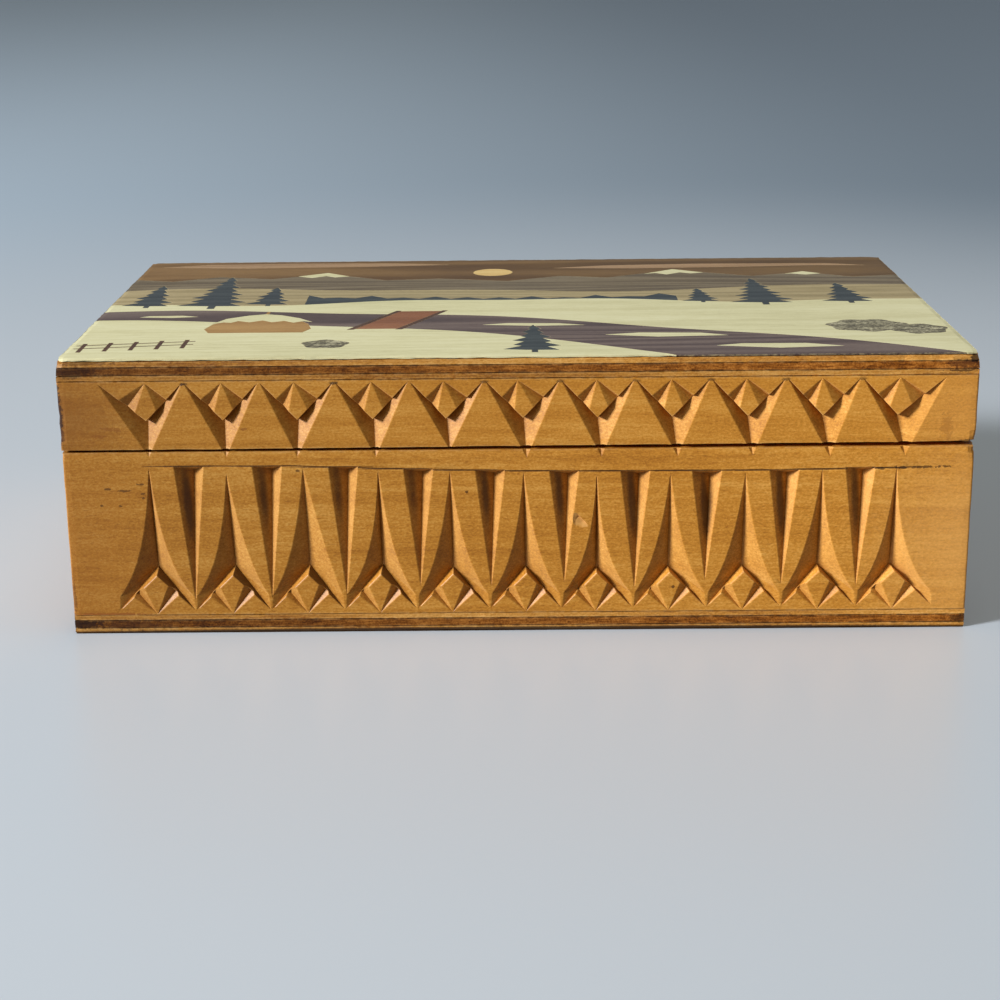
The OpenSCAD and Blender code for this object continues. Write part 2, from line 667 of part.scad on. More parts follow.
module sky_veneer() { color("sienna") veneer(SKY); }
module cloud_veneer() { color("rosybrown") veneer(CLOUD); }
module sun_veneer() { color("wheat") veneer(SUN); }
module mountain_veneer() { color("dimgray") veneer(MOUNTAIN); }
module mountain_snow_veneer() { color("cornsilk") veneer(MOUNTAIN_SNOW); }
module hill_veneer() { color("tan") veneer(HILL); }
module far_forest_veneer() { color("darkslategray") veneer(FAR_FOREST); }
module far_snow_veneer() { color("beige") veneer(FAR_SNOW); }
module river_veneer() { color("saddlebrown") veneer(RIVER); }
module ice_veneer() { color("cornsilk") veneer(ICE); }
module near_snow_veneer() { color("ivory") veneer(NEAR_SNOW); }
module left_firs_veneer() { color("darkslategray") veneer(LEFT_FIRS); }
module right_firs_veneer() { color("darkslategray") veneer(RIGHT_FIRS); }
module front_fir_veneer() { color("darkslategray") veneer(FRONT_FIR); }
module haystack_veneer() { color("peru") veneer(HAYSTACK); }
module haystack_snow_veneer() { color("cornsilk") veneer(HAYSTACK_SNOW); }
module bridge_deck_veneer() { color("chocolate") veneer(BRIDGE_DECK); }
module bridge_rails_veneer() { color("maroon") veneer(BRIDGE_RAILS); }
module fence_veneer() { color("maroon") veneer(FENCE); }
module bushes_veneer() { color("gray") veneer(BUSHES); }

base_outer_ply();
base_core_ply();
base_inner_ply();
box_front_wall();
box_back_wall();
box_left_wall();
box_right_wall();
lid_front_rail();
lid_back_rail();
lid_left_rail();
lid_right_rail();
lid_back_ply();
lid_core_ply();
lid_face_ply();
left_hinge_box_leaf();
left_hinge_lid_leaf();
left_hinge_pin();
right_hinge_box_leaf();
right_hinge_lid_leaf();
right_hinge_pin();
box_hinge_nails();
lid_hinge_nails();
sky_veneer();
cloud_veneer();
sun_veneer();
mountain_veneer();
mountain_snow_veneer();
hill_veneer();
far_forest_veneer();
far_snow_veneer();
river_veneer();
ice_veneer();
near_snow_veneer();
left_firs_veneer();
right_firs_veneer();
front_fir_veneer();
haystack_veneer();
haystack_snow_veneer();
bridge_deck_veneer();
bridge_rails_veneer();
fence_veneer();
bushes_veneer();
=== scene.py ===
"""Looks of a marquetry trinket box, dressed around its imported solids.

The box is chip-carved and varnished on three-ply panels. Its lid carries a picture of
inlaid veneers and hangs on two brass butt hinges that are let into the back edge.
Places inside the finishes and the marks are in millimetres, and meshes are in metres.
"""

import logging
import math
from collections.abc import Callable, Mapping, Sequence
from dataclasses import dataclass, field, replace
from enum import Enum

import bmesh
import bpy
from bmesh.types import BMEdge, BMesh, BMFace, BMVert
from bpy.types import ID, Material, Node, NodeOutputs, NodeSocket, NodeTree, Object
from mathutils import Matrix, Vector, noise


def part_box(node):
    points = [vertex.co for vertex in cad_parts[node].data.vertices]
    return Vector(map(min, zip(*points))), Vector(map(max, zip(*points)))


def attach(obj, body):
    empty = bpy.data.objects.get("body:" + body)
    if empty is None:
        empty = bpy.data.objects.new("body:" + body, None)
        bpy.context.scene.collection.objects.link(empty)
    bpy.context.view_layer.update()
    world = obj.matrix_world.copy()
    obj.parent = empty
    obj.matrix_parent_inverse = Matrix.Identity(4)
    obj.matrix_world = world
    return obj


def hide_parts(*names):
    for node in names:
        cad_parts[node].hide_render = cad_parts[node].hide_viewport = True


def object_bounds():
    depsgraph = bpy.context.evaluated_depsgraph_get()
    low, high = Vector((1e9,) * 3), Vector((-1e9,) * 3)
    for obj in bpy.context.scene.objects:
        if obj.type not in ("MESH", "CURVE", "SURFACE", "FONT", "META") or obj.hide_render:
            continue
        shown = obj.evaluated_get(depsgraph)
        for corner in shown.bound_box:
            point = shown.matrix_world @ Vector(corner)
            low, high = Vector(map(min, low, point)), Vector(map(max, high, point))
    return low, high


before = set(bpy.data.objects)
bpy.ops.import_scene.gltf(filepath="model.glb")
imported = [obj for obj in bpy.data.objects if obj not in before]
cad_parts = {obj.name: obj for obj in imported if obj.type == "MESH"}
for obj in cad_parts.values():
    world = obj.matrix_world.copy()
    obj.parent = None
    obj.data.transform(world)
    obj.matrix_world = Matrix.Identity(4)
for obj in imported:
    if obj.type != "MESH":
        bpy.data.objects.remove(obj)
CAD_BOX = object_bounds()
LOG = logging.getLogger("trinket_box")

# A millimetre, and the distance within which points count as one, in metres
MM = 0.001
WELD = 1e-6
# Angles up to which faces merge, shade as one, and meet without a rounded edge
FLAT = math.radians(0.4)
SHADED_AS_ONE = math.radians(4.0)
CREASE = math.radians(14.0)
# Angles between which two edges make a narrow tip
NARROW = math.radians(0.5)
TIP = math.radians(50.0)
# How near to a glued foot or top a rounded edge runs out, in millimetres
GLUED_EDGE = 0.5
# Attributes of the points in a dirty groove and on torn wood
DIRT = "dirt"
TORN = "torn"
# The box's right end and its front, in millimetres
HALF_WIDTH = CAD_BOX[1][0] / MM
FRONT = CAD_BOX[0][1] / MM

Colour = tuple[float, float, float, float]
Point = tuple[float, float, float]
Span = tuple[float, float]
# A noise's waves in a millimetre, its octaves and their roughness
Waves = tuple[float, float, float]
Value = NodeSocket | float | Sequence[float]
Inputs = Mapping[str | int, Value]


def srgb(red: int, green: int, blue: int) -> Colour:
    """Turns a colour as seen on a screen, from 0 to 255, into linear light.

    Args:
        red: Red part.
        green: Green part.
        blue: Blue part.

    Returns:
        The linear colour with full alpha.
    """
    parts = [c / 255 for c in (red, green, blue)]
    linear = [c / 12.92 if c <= 0.04045 else ((c + 0.055) / 1.055) ** 2.4 for c in parts]
    return (*linear, 1.0)


class Body(str, Enum):
    """The two bodies that the hinges join."""

    BOX = "box"
    LID = "lid"


class Slot(str, Enum):
    """The record's material slots."""

    CARVED_LIME = "carved_lime"
    FACE_PLY = "face_ply"
    CORE_PLY = "core_ply"
    BRASS = "hinge_brass"
    STEEL = "hinge_steel"
    SKY = "sky_pear"
    CLOUD = "cloud_beech"
    SUN = "sun_satinwood"
    MOUNTAIN = "mountain_walnut"
    SNOW = "snow_sycamore"
    HILL = "hill_greywood"
    FIR = "fir_bog_oak"
    RIVER = "river_smoked_oak"
    HAY = "hay_burr"
    BRIDGE = "bridge_mahogany"
    RAIL = "rail_walnut"
    BUSH = "bush_burr"


class Grain(Enum):
    """The way a piece's grain runs, as a turn about the upright axis in degrees."""

    ALONG_X = 0.0
    ALONG_Y = 90.0


class Tree:
    """A node tree that is wired by short calls."""

    def __init__(self, tree: NodeTree) -> None:
        """Keeps the node tree to wire."""
        self.tree = tree

    def node(self, kind: str, inputs: Inputs | None = None, **settings: object) -> Node:
        """Adds a node.

        Args:
            kind: Blender's name for the node's type.
            inputs: What its inputs get, by name or number.
            **settings: Properties to set on it first.

        Returns:
            The new node.
        """
        made = self.tree.nodes.new(kind)
        for name, value in settings.items():
            setattr(made, name, value)
        self.feed(made, inputs or {})
        return made

    def feed(self, node: Node, inputs: Inputs) -> None:
        """Links a node's inputs to other nodes, or sets them to constants.

        Args:
            node: The node.
            inputs: What its inputs get, by name or number.
        """
        for name, value in inputs.items():
            if isinstance(value, NodeSocket):
                self.tree.links.new(value, node.inputs[name])
            else:
                node.inputs[name].default_value = value

    def maths(self, operation: str, *values: Value, clamp: bool = False) -> NodeSocket:
        """Gives the result of a Math node, held from 0 to 1 where it is clamped."""
        inputs = dict(enumerate(values))
        return self.node("ShaderNodeMath", inputs, operation=operation, use_clamp=clamp).outputs[0]

    def vector(self, operation: str, *values: Value) -> NodeSocket:
        """Gives the vector of a Vector Math node, or the number where the operation gives one."""
        made = self.node("ShaderNodeVectorMath", dict(enumerate(values)), operation=operation)
        return made.outputs["Value" if operation in ("LENGTH", "DOT_PRODUCT") else "Vector"]

    def parts(self, vector: Value) -> NodeOutputs:
        """Splits a vector into its X, Y and Z."""
        return self.node("ShaderNodeSeparateXYZ", {0: vector}).outputs

    def noise(self, at: Value, scale: float, detail: float, rough: float, warp: float = 0.0) -> NodeSocket:
        """Gives noise, by its waves in a millimetre, its octaves, their roughness and its distortion."""
        inputs = {"Vector": at, "Scale": scale, "Detail": detail, "Roughness": rough, "Distortion": warp}
        return self.node("ShaderNodeTexNoise", inputs).outputs["Fac"]

    def span(self, value: Value, low: Value, high: Value) -> NodeSocket:
        """Turns the values from low to high smoothly into 0 to 1."""
        inputs = {"Value": value, "From Min": low, "From Max": high}
        return self.node("ShaderNodeMapRange", inputs, interpolation_type="SMOOTHSTEP").outputs["Result"]

    def mix(self, factor: Value, a: Value, b: Value, blend: str = "MIX") -> NodeSocket:
        """Mixes a share of the second colour into the first."""
        inputs = {"Factor": factor, 6: a, 7: b}
        return self.node("ShaderNodeMix", inputs, data_type="RGBA", blend_type=blend).outputs[2]

    def ramp(self, value: Value, colours: Sequence[Colour]) -> NodeSocket:
        """Spreads a value over evenly spaced colours.

        Args:
            value: From 0 to 1.
            colours: The colours, from 0 to 1.

        Returns:
            The colour.
        """
        made = self.node("ShaderNodeValToRGB", {"Fac": value})
        stops = made.color_ramp.elements
        while len(stops) < len(colours):
            stops.new(0.5)
        for i, colour in enumerate(colours):
            stops[i].position = i / (len(colours) - 1)
            stops[i].color = colour
        return made.outputs["Color"]

    def bump(self, height: Value, depth: float) -> NodeSocket:
        """Gives the normal of a surface, where a height of 1 stands for a depth in millimetres."""
        return self.node("ShaderNodeBump", {"Distance": depth * MM, "Height": height}).outputs["Normal"]

    def place(self, effect: type["EffectGroup"], **inputs: Value) -> NodeOutputs:
        """Places an effect. An underscore stands for a space in the name of an input."""
        named = {name.replace("_", " "): value for name, value in inputs.items()}
        return self.node("ShaderNodeGroup", named, node_tree=effect.get()).outputs

    def seen(self) -> NodeSocket:
        """Tells what the camera sees itself, in gloss or through glass from what lights the box.

        Returns:
            1 for what is seen, and 0 for what lights the box.
        """
        rays = self.node("ShaderNodeLightPath").outputs
        seen = self.maths("MAXIMUM", rays["Is Camera Ray"], rays["Is Glossy Ray"])
        return self.maths("MAXIMUM", seen, rays["Is Transmission Ray"])


class EffectGroup:
    """A shader effect that several finishes use, built once as a node group."""

    name = "effect"
    vectors: tuple[str, ...] = ("Vector",)
    numbers: tuple[str, ...] = ()
    masks: tuple[str, ...] = ("Mask",)

    @classmethod
    def get(cls) -> NodeTree:
        """Builds the group the first time, and finds it after that.

        Returns:
            The group.
        """
        found = bpy.data.node_groups.get(cls.name)
        if found:
            return found
        group = bpy.data.node_groups.new(cls.name, "ShaderNodeTree")
        for way, kind, names in (
            ("INPUT", "Vector", cls.vectors), ("INPUT", "Float", cls.numbers), ("OUTPUT", "Float", cls.masks),
        ):
            for name in names:
                group.interface.new_socket(name=name, in_out=way, socket_type=f"NodeSocket{kind}")
        t = Tree(group)
        t.node("NodeGroupOutput", cls.wire(t, t.node("NodeGroupInput").outputs))
        return group

    @classmethod
    def wire(cls, t: Tree, given: NodeOutputs) -> dict[str, Value]:
        """Wires the group's inside.

        Args:
            t: The group's tree.
            given: The group's inputs.

        Returns:
            What each of its masks gets.
        """
        raise NotImplementedError


class WoodGrain(EffectGroup):
    """Growth rings, fibres, pores and broad shading of a board whose grain runs along X.

    Each noise has a stretch, then its waves in a millimetre, its octaves, their roughness and its distortion.
    """

    name = "wood_grain"
    numbers = ("Ring Width",)
    noises = {
        "Rings": ((0.06, 1.0, 1.0), 0.03, 2.0, 0.45, 0.3),
        "Fibres": ((0.09, 1.0, 1.0), 2.0, 4.0, 0.62, 0.0),
        "Speckle": ((0.6, 1.0, 1.0), 2.6, 2.0, 0.75, 0.0),
        "Bands": ((0.03, 1.0, 1.0), 0.32, 3.0, 0.6, 0.4),
        "Layers": ((0.16, 0.16, 2.2), 1.3, 4.0, 0.75, 0.6),
        "Pores": ((0.14, 1.0, 1.0), 4.2, 1.0, 0.5, 0.0),
        "Clouds": ((0.45, 1.0, 1.0), 0.06, 3.0, 0.55, 0.0),
    }
    masks = tuple(noises)
    ring_count = 26.0
    pore_span: Span = (0.62, 0.74)

    @classmethod
    def wire(cls, t: Tree, given: NodeOutputs) -> dict[str, Value]:
        """Wires the grain. The contour lines of a slow noise make the rings.

        Args:
            t: The group's tree.
            given: The group's inputs.

        Returns:
            What each of its masks gets.
        """
        masks = {
            name: t.noise(t.vector("MULTIPLY", given["Vector"], stretch), *waves)
            for name, (stretch, *waves) in cls.noises.items()
        }
        count = t.maths("DIVIDE", cls.ring_count, given["Ring Width"])
        turns = t.maths("MULTIPLY", t.maths("MULTIPLY", masks["Rings"], count), math.tau)
        masks["Rings"] = t.maths("MULTIPLY_ADD", t.maths("SINE", turns), 0.5, 0.5)
        masks["Pores"] = t.span(masks["Pores"], *cls.pore_span)
        return masks


class PatinaAndShade(EffectGroup):
    """Darkening in hollows, which is settled varnish and dirt and also painted shade, and paler edges, which
    are rubbed by hands and also a painted highlight.
    """

    name = "patina_and_shade"
    numbers = ("Reach", "Edge")
    masks = ("Hollow", "Rubbed Highlight")
    samples = 8
    edge_span: Span = (0.1, 0.4)
    hand_waves: Waves = (0.7, 3.0, 0.6)
    hand_span: Span = (0.35, 0.6)

    @classmethod
    def wire(cls, t: Tree, given: NodeOutputs) -> dict[str, Value]:
        """Wires the two masks from what lies around and inside a point of the piece itself.

        Args:
            t: The group's tree.
            given: The group's inputs.

        Returns:
            What each of its masks gets.
        """
        shut = {}
        for name, inside in (("Reach", False), ("Edge", True)):
            near = t.node(
                "ShaderNodeAmbientOcclusion", {"Distance": given[name]}, samples=cls.samples, only_local=True,
                inside=inside,
            )
            shut[name] = t.maths("SUBTRACT", 1.0, near.outputs["AO"])
        hands = t.span(t.noise(given["Vector"], *cls.hand_waves), *cls.hand_span)
        rubbed_highlight = t.maths("MULTIPLY", t.span(shut["Edge"], *cls.edge_span), hands)
        return {"Hollow": shut["Reach"], "Rubbed Highlight": rubbed_highlight}


class RaggedSpot(EffectGroup):
    """A ragged spot around a place, full within its core and gone at its rim, as shares of its reach."""

    name = "ragged_spot"
    vectors = ("Vector", "Centre", "Reach")
    numbers = ("Ragged", "Soft")
    jag_waves: Waves = (1.3, 3.0, 0.7)
    jag_depth = 3.0
    core = 0.95
    rim = 1.05

    @classmethod
    def wire(cls, t: Tree, given: NodeOutputs) -> dict[str, Value]:
        """Wires an ellipsoid whose rim is moved by noise.

        Args:
            t: The group's tree.
            given: The group's inputs.

        Returns:
            What its mask gets.
        """
        away = t.vector("DIVIDE", t.vector("SUBTRACT", given["Vector"], given["Centre"]), given["Reach"])
        jag = t.maths("SUBTRACT", t.noise(given["Vector"], *cls.jag_waves), 0.5)
        shift = t.maths("MULTIPLY", jag, given["Ragged"])
        far = t.maths("MULTIPLY_ADD", shift, cls.jag_depth, t.vector("LENGTH", away))
        core = t.maths("SUBTRACT", cls.core, given["Soft"])
        return {"Mask": t.maths("SUBTRACT", 1.0, t.span(far, core, cls.rim))}


class GlueLine(EffectGroup):
    """A thin dark line where two boards or plies are glued at a height."""

    name = "glue_line"
    numbers = ("Height", "Width")
    wander_waves: Waves = (0.45, 4.0, 0.7)
    wander_span: Span = (0.25, 0.6)
    widening = (3.0, -0.6)

    @classmethod
    def wire(cls, t: Tree, given: NodeOutputs) -> dict[str, Value]:
        """Wires a band around the height whose width and strength wander.

        Args:
            t: The group's tree.
            given: The group's inputs.

        Returns:
            What its mask gets.
        """
        height = t.parts(given["Vector"])["Z"]
        away = t.maths("ABSOLUTE", t.maths("SUBTRACT", height, given["Height"]))
        wander = t.noise(given["Vector"], *cls.wander_waves)
        width = t.maths("MULTIPLY", given["Width"], t.maths("MULTIPLY_ADD", wander, *cls.widening))
        thin = t.maths("SUBTRACT", 1.0, t.span(away, 0.0, width))
        return {"Mask": t.maths("MULTIPLY", thin, t.span(wander, *cls.wander_span))}


class Inside(EffectGroup):
    """A mask for the faces inside the box and the lid, which got less varnish."""

    name = "inside"
    vectors = ("Vector", "Half Room")
    slack = 0.2

    @classmethod
    def wire(cls, t: Tree, given: NodeOutputs) -> dict[str, Value]:
        """Wires a test of whether a point lies within the room's walls.

        Args:
            t: The group's tree.
            given: The group's inputs.

        Returns:
            What its mask gets.
        """
        over = t.parts(t.vector("SUBTRACT", t.vector("ABSOLUTE", given["Vector"]), given["Half Room"]))
        most = t.maths("MAXIMUM", over["X"], over["Y"])
        return {"Mask": t.maths("LESS_THAN", most, cls.slack)}


@dataclass(frozen=True)
class Mark:
    """A mark on the wood, or a patch of painted light and shade, in millimetres."""

    centre: Point
    reach: Point
    ragged: float = 0.5
    strength: float = 0.8
    colour: Colour = srgb(38, 24, 12)
    soft: float = 0.2
    every: float = 0.0


@dataclass(frozen=True)
class Facet:
    """Facets of the front's carving that face a direction, with painted shade on those turned from the light
    and painted light on those turned to it.
    """

    towards: Point
    from_share: float
    to_share: float
    strength: float
    colour: Colour
    outward: Span = (0.15, 0.3)


@dataclass(frozen=True)
class ScribedLine:
    """A line that was scribed along the front before it was carved, as (X, height) in millimetres."""

    points: tuple[tuple[float, float], ...]
    width: float = 0.34
    depth: float = 0.14


@dataclass(frozen=True)
class Flake:
    """A torn flake on the front: corners as (X, height), and where it is deepest, in millimetres."""

    corners: tuple[tuple[float, float], ...]
    deepest: tuple[float, float]
    depth: float
    reach: float
    wave: float = 0.7
    splits: int = 2


@dataclass(frozen=True)
class Knock:
    """A place where a corner was knocked, and how far it gave way, in millimetres."""

    at: Point
    reach: float
    give: Point
    rough: float = 0.6
    wave: float = 0.9


@dataclass(frozen=True)
class Wear:
    """How deep the arrises of a block are worn, in waves of what length and how far in, in millimetres."""

    depth: float
    wave: float
    reach: float

    def weight(self, at: Vector, low: Vector, high: Vector) -> float:
        """Weighs a point from 1 on an arris of a block to 0 away from it, by its two nearest sides."""
        gaps = sorted(min(at[i] - low[i], high[i] - at[i]) for i in range(3))
        return max(0.0, 1.0 - gaps[1] / (self.reach * MM))


@dataclass(frozen=True)
class Finish:
    """A finish that is built once as a material."""

    name: str

    def make(self) -> Material:
        """Builds the material the first time, and finds it after that.

        Returns:
            The material.
        """
        found = bpy.data.materials.get(self.name)
        if found:
            return found
        material = bpy.data.materials.new(self.name)
        material.use_nodes = True
        self.wire(Tree(material.node_tree), material.node_tree.nodes["Principled BSDF"])
        return material

    def wire(self, t: Tree, shader: Node) -> None:
        """Wires the finish.

        Args:
            t: The material's tree.
            shader: Its shader.
        """
        raise NotImplementedError


# Shift of the grain for each step of a seed, in millimetres
SEED_SHIFT = (31.0, 17.0, 7.0)
# How much the roughness wanders, and how much more of it there is inside
GLOSS_SPREAD = 0.16
INSIDE_ROUGHNESS = 0.2
# Shares of raw wood inside, of torn wood on a flake and of dirt in a groove
RAW_SHARE = 0.75
TORN_SHARE = 0.6
DIRT_SHARE = 0.85
# How squarely a face cuts across the fibres where end grain starts and is full
END_SPAN = (0.55, 1.0)
# The uneven varnish's waves, and how high it and the pores stand against the fibres
VARNISH_WAVES = (0.55, 2.0, 0.5)
VARNISH_HEIGHT = 1.6
PORE_DEPTH = 0.6
PORE_TINT = srgb(150, 125, 100)
RAW_FIBRES = (srgb(222, 214, 198), srgb(255, 255, 255))


@dataclass(frozen=True)
class WoodFinish(Finish):
    """A varnished wood."""

    dark: Colour
    middle: Colour
    light: Colour
    ring_width: float = 1.4
    rings: float = 0.25
    fibres: float = 0.6
    clouds: float = 0.5
    speckle: float = 0.9
    bands: float = 0.4
    layers: float = 0.0
    pores: float = 0.25
    end_grain: float = 0.25
    end_tint: Colour = srgb(140, 100, 62)
    # Tint, reach and strength of the darkening in hollows: settled dirt and painted shade
    hollow_dirt_and_shade: Colour = srgb(150, 92, 40)
    hollow_dirt_and_shade_reach: float = 1.5
    hollow_dirt_and_shade_strength: float = 0.7
    rubbed_highlight: float = 0.35
    edge: float = 0.6
    gloss: float = 0.48
    shine: float = 0.35
    coat: float = 0.1
    coat_gloss: float = 0.3
    bump: float = 0.02
    grain: Grain = Grain.ALONG_X
    seed: float = 0.0
    bleach: float = 0.0
    glue_lines: tuple[float, ...] = ()
    glue_width: float = 0.22
    glue_strength: float = 0.8
    glue: Colour = srgb(74, 38, 10)
    dirt: Colour = srgb(58, 32, 12)
    room: Point | None = None
    raw: Colour = srgb(222, 176, 112)
    torn: Colour = srgb(226, 172, 100)
    facets: tuple[Facet, ...] = ()
    marks: tuple[Mark, ...] = ()

    def wire(self, t: Tree, shader: Node) -> None:
        """Wires the wood's colour, gloss and bumps.

        Args:
            t: The material's tree.
            shader: Its shader.
        """
        place = t.node("ShaderNodeTexCoord").outputs
        spot = t.vector("MULTIPLY", place["Object"], (1 / MM,) * 3)
        turned = t.node("ShaderNodeMapping", {
            "Vector": spot,
            "Rotation": (0.0, 0.0, math.radians(self.grain.value)),
            "Location": [self.seed * shift for shift in SEED_SHIFT],
        })
        grain = t.place(WoodGrain, Vector=turned.outputs[0], Ring_Width=self.ring_width)
        colour = self._wood_colour(t, grain, spot)
        colour = self._end_grain(t, place["Normal"], colour)
        for facet in self.facets:
            colour = self._tint_facet(t, place["Normal"], colour, facet)
        # Painted shade with settled dirt: the colour darkens towards a brown tint in hollows
        patina_and_shade = t.place(PatinaAndShade, Vector=spot, Reach=self.hollow_dirt_and_shade_reach * MM, Edge=self.edge * MM)
        hollow_dirt_and_shade = t.maths("MULTIPLY", patina_and_shade["Hollow"], self.hollow_dirt_and_shade_strength, clamp=True)
        colour = t.mix(hollow_dirt_and_shade, colour, self.hollow_dirt_and_shade, "MULTIPLY")
        # Convex edges turn towards raw wood: rubbed wear and a painted highlight
        colour = t.mix(t.maths("MULTIPLY", patina_and_shade["Rubbed Highlight"], self.rubbed_highlight), colour, self.raw)
        smoothest = self.gloss - GLOSS_SPREAD / 2
        roughness = t.maths("MULTIPLY_ADD", grain["Clouds"], GLOSS_SPREAD, smoothest)
        if self.room:
            inside = t.place(Inside, Vector=spot, Half_Room=self.room)["Mask"]
            raw = t.mix(1.0, self.raw, t.ramp(grain["Fibres"], RAW_FIBRES), "MULTIPLY")
            colour = t.mix(inside, colour, t.mix(RAW_SHARE, colour, raw))
            roughness = t.maths("MULTIPLY_ADD", inside, INSIDE_ROUGHNESS, roughness)
        t.feed(shader, {
            "Base Color": self._age(t, spot, colour),
            "Roughness": roughness,
            "Coat Weight": self.coat,
            "Coat Roughness": self.coat_gloss,
            "Specular IOR Level": self.shine,
            "Normal": self._bumps(t, grain, spot),
        })

    def _age(self, t: Tree, spot: Value, colour: Value) -> NodeSocket:
        """Adds glue lines, the dirt in grooves, torn wood and the marks, among them painted light and shade.

        Args:
            t: The material's tree.
            spot: The place in millimetres.
            colour: The colour so far.

        Returns:
            The colour.
        """
        for height in self.glue_lines:
            line = t.place(GlueLine, Vector=spot, Height=height, Width=self.glue_width)["Mask"]
            colour = t.mix(t.maths("MULTIPLY", line, self.glue_strength), colour, self.glue)
        for attribute, share, tint in ((TORN, TORN_SHARE, self.torn), (DIRT, DIRT_SHARE, self.dirt)):
            here = t.node("ShaderNodeAttribute", attribute_name=attribute).outputs["Fac"]
            colour = t.mix(t.maths("MULTIPLY", here, share), colour, tint)
        for mark in self.marks:
            where = self._repeat(t, spot, mark) if mark.every else spot
            shape = {"Centre": mark.centre, "Reach": mark.reach, "Ragged": mark.ragged, "Soft": mark.soft}
            ragged_spot = t.place(RaggedSpot, Vector=where, **shape)["Mask"]
            colour = t.mix(t.maths("MULTIPLY", ragged_spot, mark.strength), colour, mark.colour)
        return colour

    def _repeat(self, t: Tree, spot: Value, mark: Mark) -> NodeSocket:
        """Wraps the place along X, so that a mark comes back at every step.

        Args:
            t: The material's tree.
            spot: The place in millimetres.
            mark: The mark.

        Returns:
            The wrapped place.
        """
        parts = t.parts(spot)
        half = mark.every / 2
        wrapped = t.maths("WRAP", parts["X"], mark.centre[0] + half, mark.centre[0] - half)
        whole = {"X": wrapped, "Y": parts["Y"], "Z": parts["Z"]}
        return t.node("ShaderNodeCombineXYZ", whole).outputs[0]

    def _wood_colour(self, t: Tree, grain: NodeOutputs, spot: Value) -> NodeSocket:
        """Mixes the three colours by the grain's parts, darkens the pores and scales the colour along X by a
        slope, which on the front and the panels is painted light.

        Args:
            t: The material's tree.
            grain: The grain's masks.
            spot: The place in millimetres.

        Returns:
            The colour.
        """
        tone: Value = 0.5
        for name in ("Rings", "Fibres", "Speckle", "Bands", "Layers", "Clouds"):
            weight = getattr(self, name.lower())
            if weight:
                centred = t.maths("SUBTRACT", grain[name], 0.5)
                tone = t.maths("MULTIPLY_ADD", centred, weight, tone)
        tone = t.maths("ADD", tone, 0.0, clamp=True)
        colour = t.ramp(tone, (self.dark, self.middle, self.light))
        colour = t.mix(t.maths("MULTIPLY", grain["Pores"], self.pores), colour, PORE_TINT, "MULTIPLY")
        if not self.bleach:
            return colour
        level = t.maths("MULTIPLY_ADD", t.parts(spot)["X"], self.bleach / HALF_WIDTH, 1.0)
        return t.mix(1.0, colour, level, "MULTIPLY")

    def _tint_facet(self, t: Tree, normal: Value, colour: Value, facet: Facet) -> NodeSocket:
        """Paints light and shade onto the carved facets that face one direction.

        Args:
            t: The material's tree.
            normal: The surface's normal.
            colour: The colour so far.
            facet: Which facets, and how they are tinted.

        Returns:
            The colour.
        """
        facing = t.span(t.vector("DOT_PRODUCT", normal, facet.towards), facet.from_share, facet.to_share)
        outward = t.span(t.vector("DOT_PRODUCT", normal, (0.0, -1.0, 0.0)), *facet.outward)
        share = t.maths("MULTIPLY", t.maths("MULTIPLY", facing, outward), facet.strength)
        return t.mix(share, colour, facet.colour)

    def _end_grain(self, t: Tree, normal: Value, colour: Value) -> NodeSocket:
        """Darkens the surfaces that cut across the fibres.

        Args:
            t: The material's tree.
            normal: The surface's normal.
            colour: The colour so far.

        Returns:
            The colour.
        """
        along = (1.0, 0.0, 0.0) if self.grain is Grain.ALONG_X else (0.0, 1.0, 0.0)
        facing = t.maths("ABSOLUTE", t.vector("DOT_PRODUCT", normal, along))
        share = t.maths("MULTIPLY", t.span(facing, *END_SPAN), self.end_grain)
        return t.mix(share, colour, self.end_tint, "MULTIPLY")

    def _bumps(self, t: Tree, grain: NodeOutputs, spot: Value) -> NodeSocket:
        """Raises the fibres a little under an uneven varnish.

        Args:
            t: The material's tree.
            grain: The grain's masks.
            spot: The place in millimetres.

        Returns:
            The normal.
        """
        varnish = t.noise(spot, *VARNISH_WAVES)
        height = t.maths("MULTIPLY_ADD", varnish, VARNISH_HEIGHT, grain["Fibres"])
        height = t.maths("ADD", height, grain["Speckle"])
        height = t.maths("SUBTRACT", height, t.maths("MULTIPLY", grain["Pores"], PORE_DEPTH))
        return t.bump(height, self.bump)


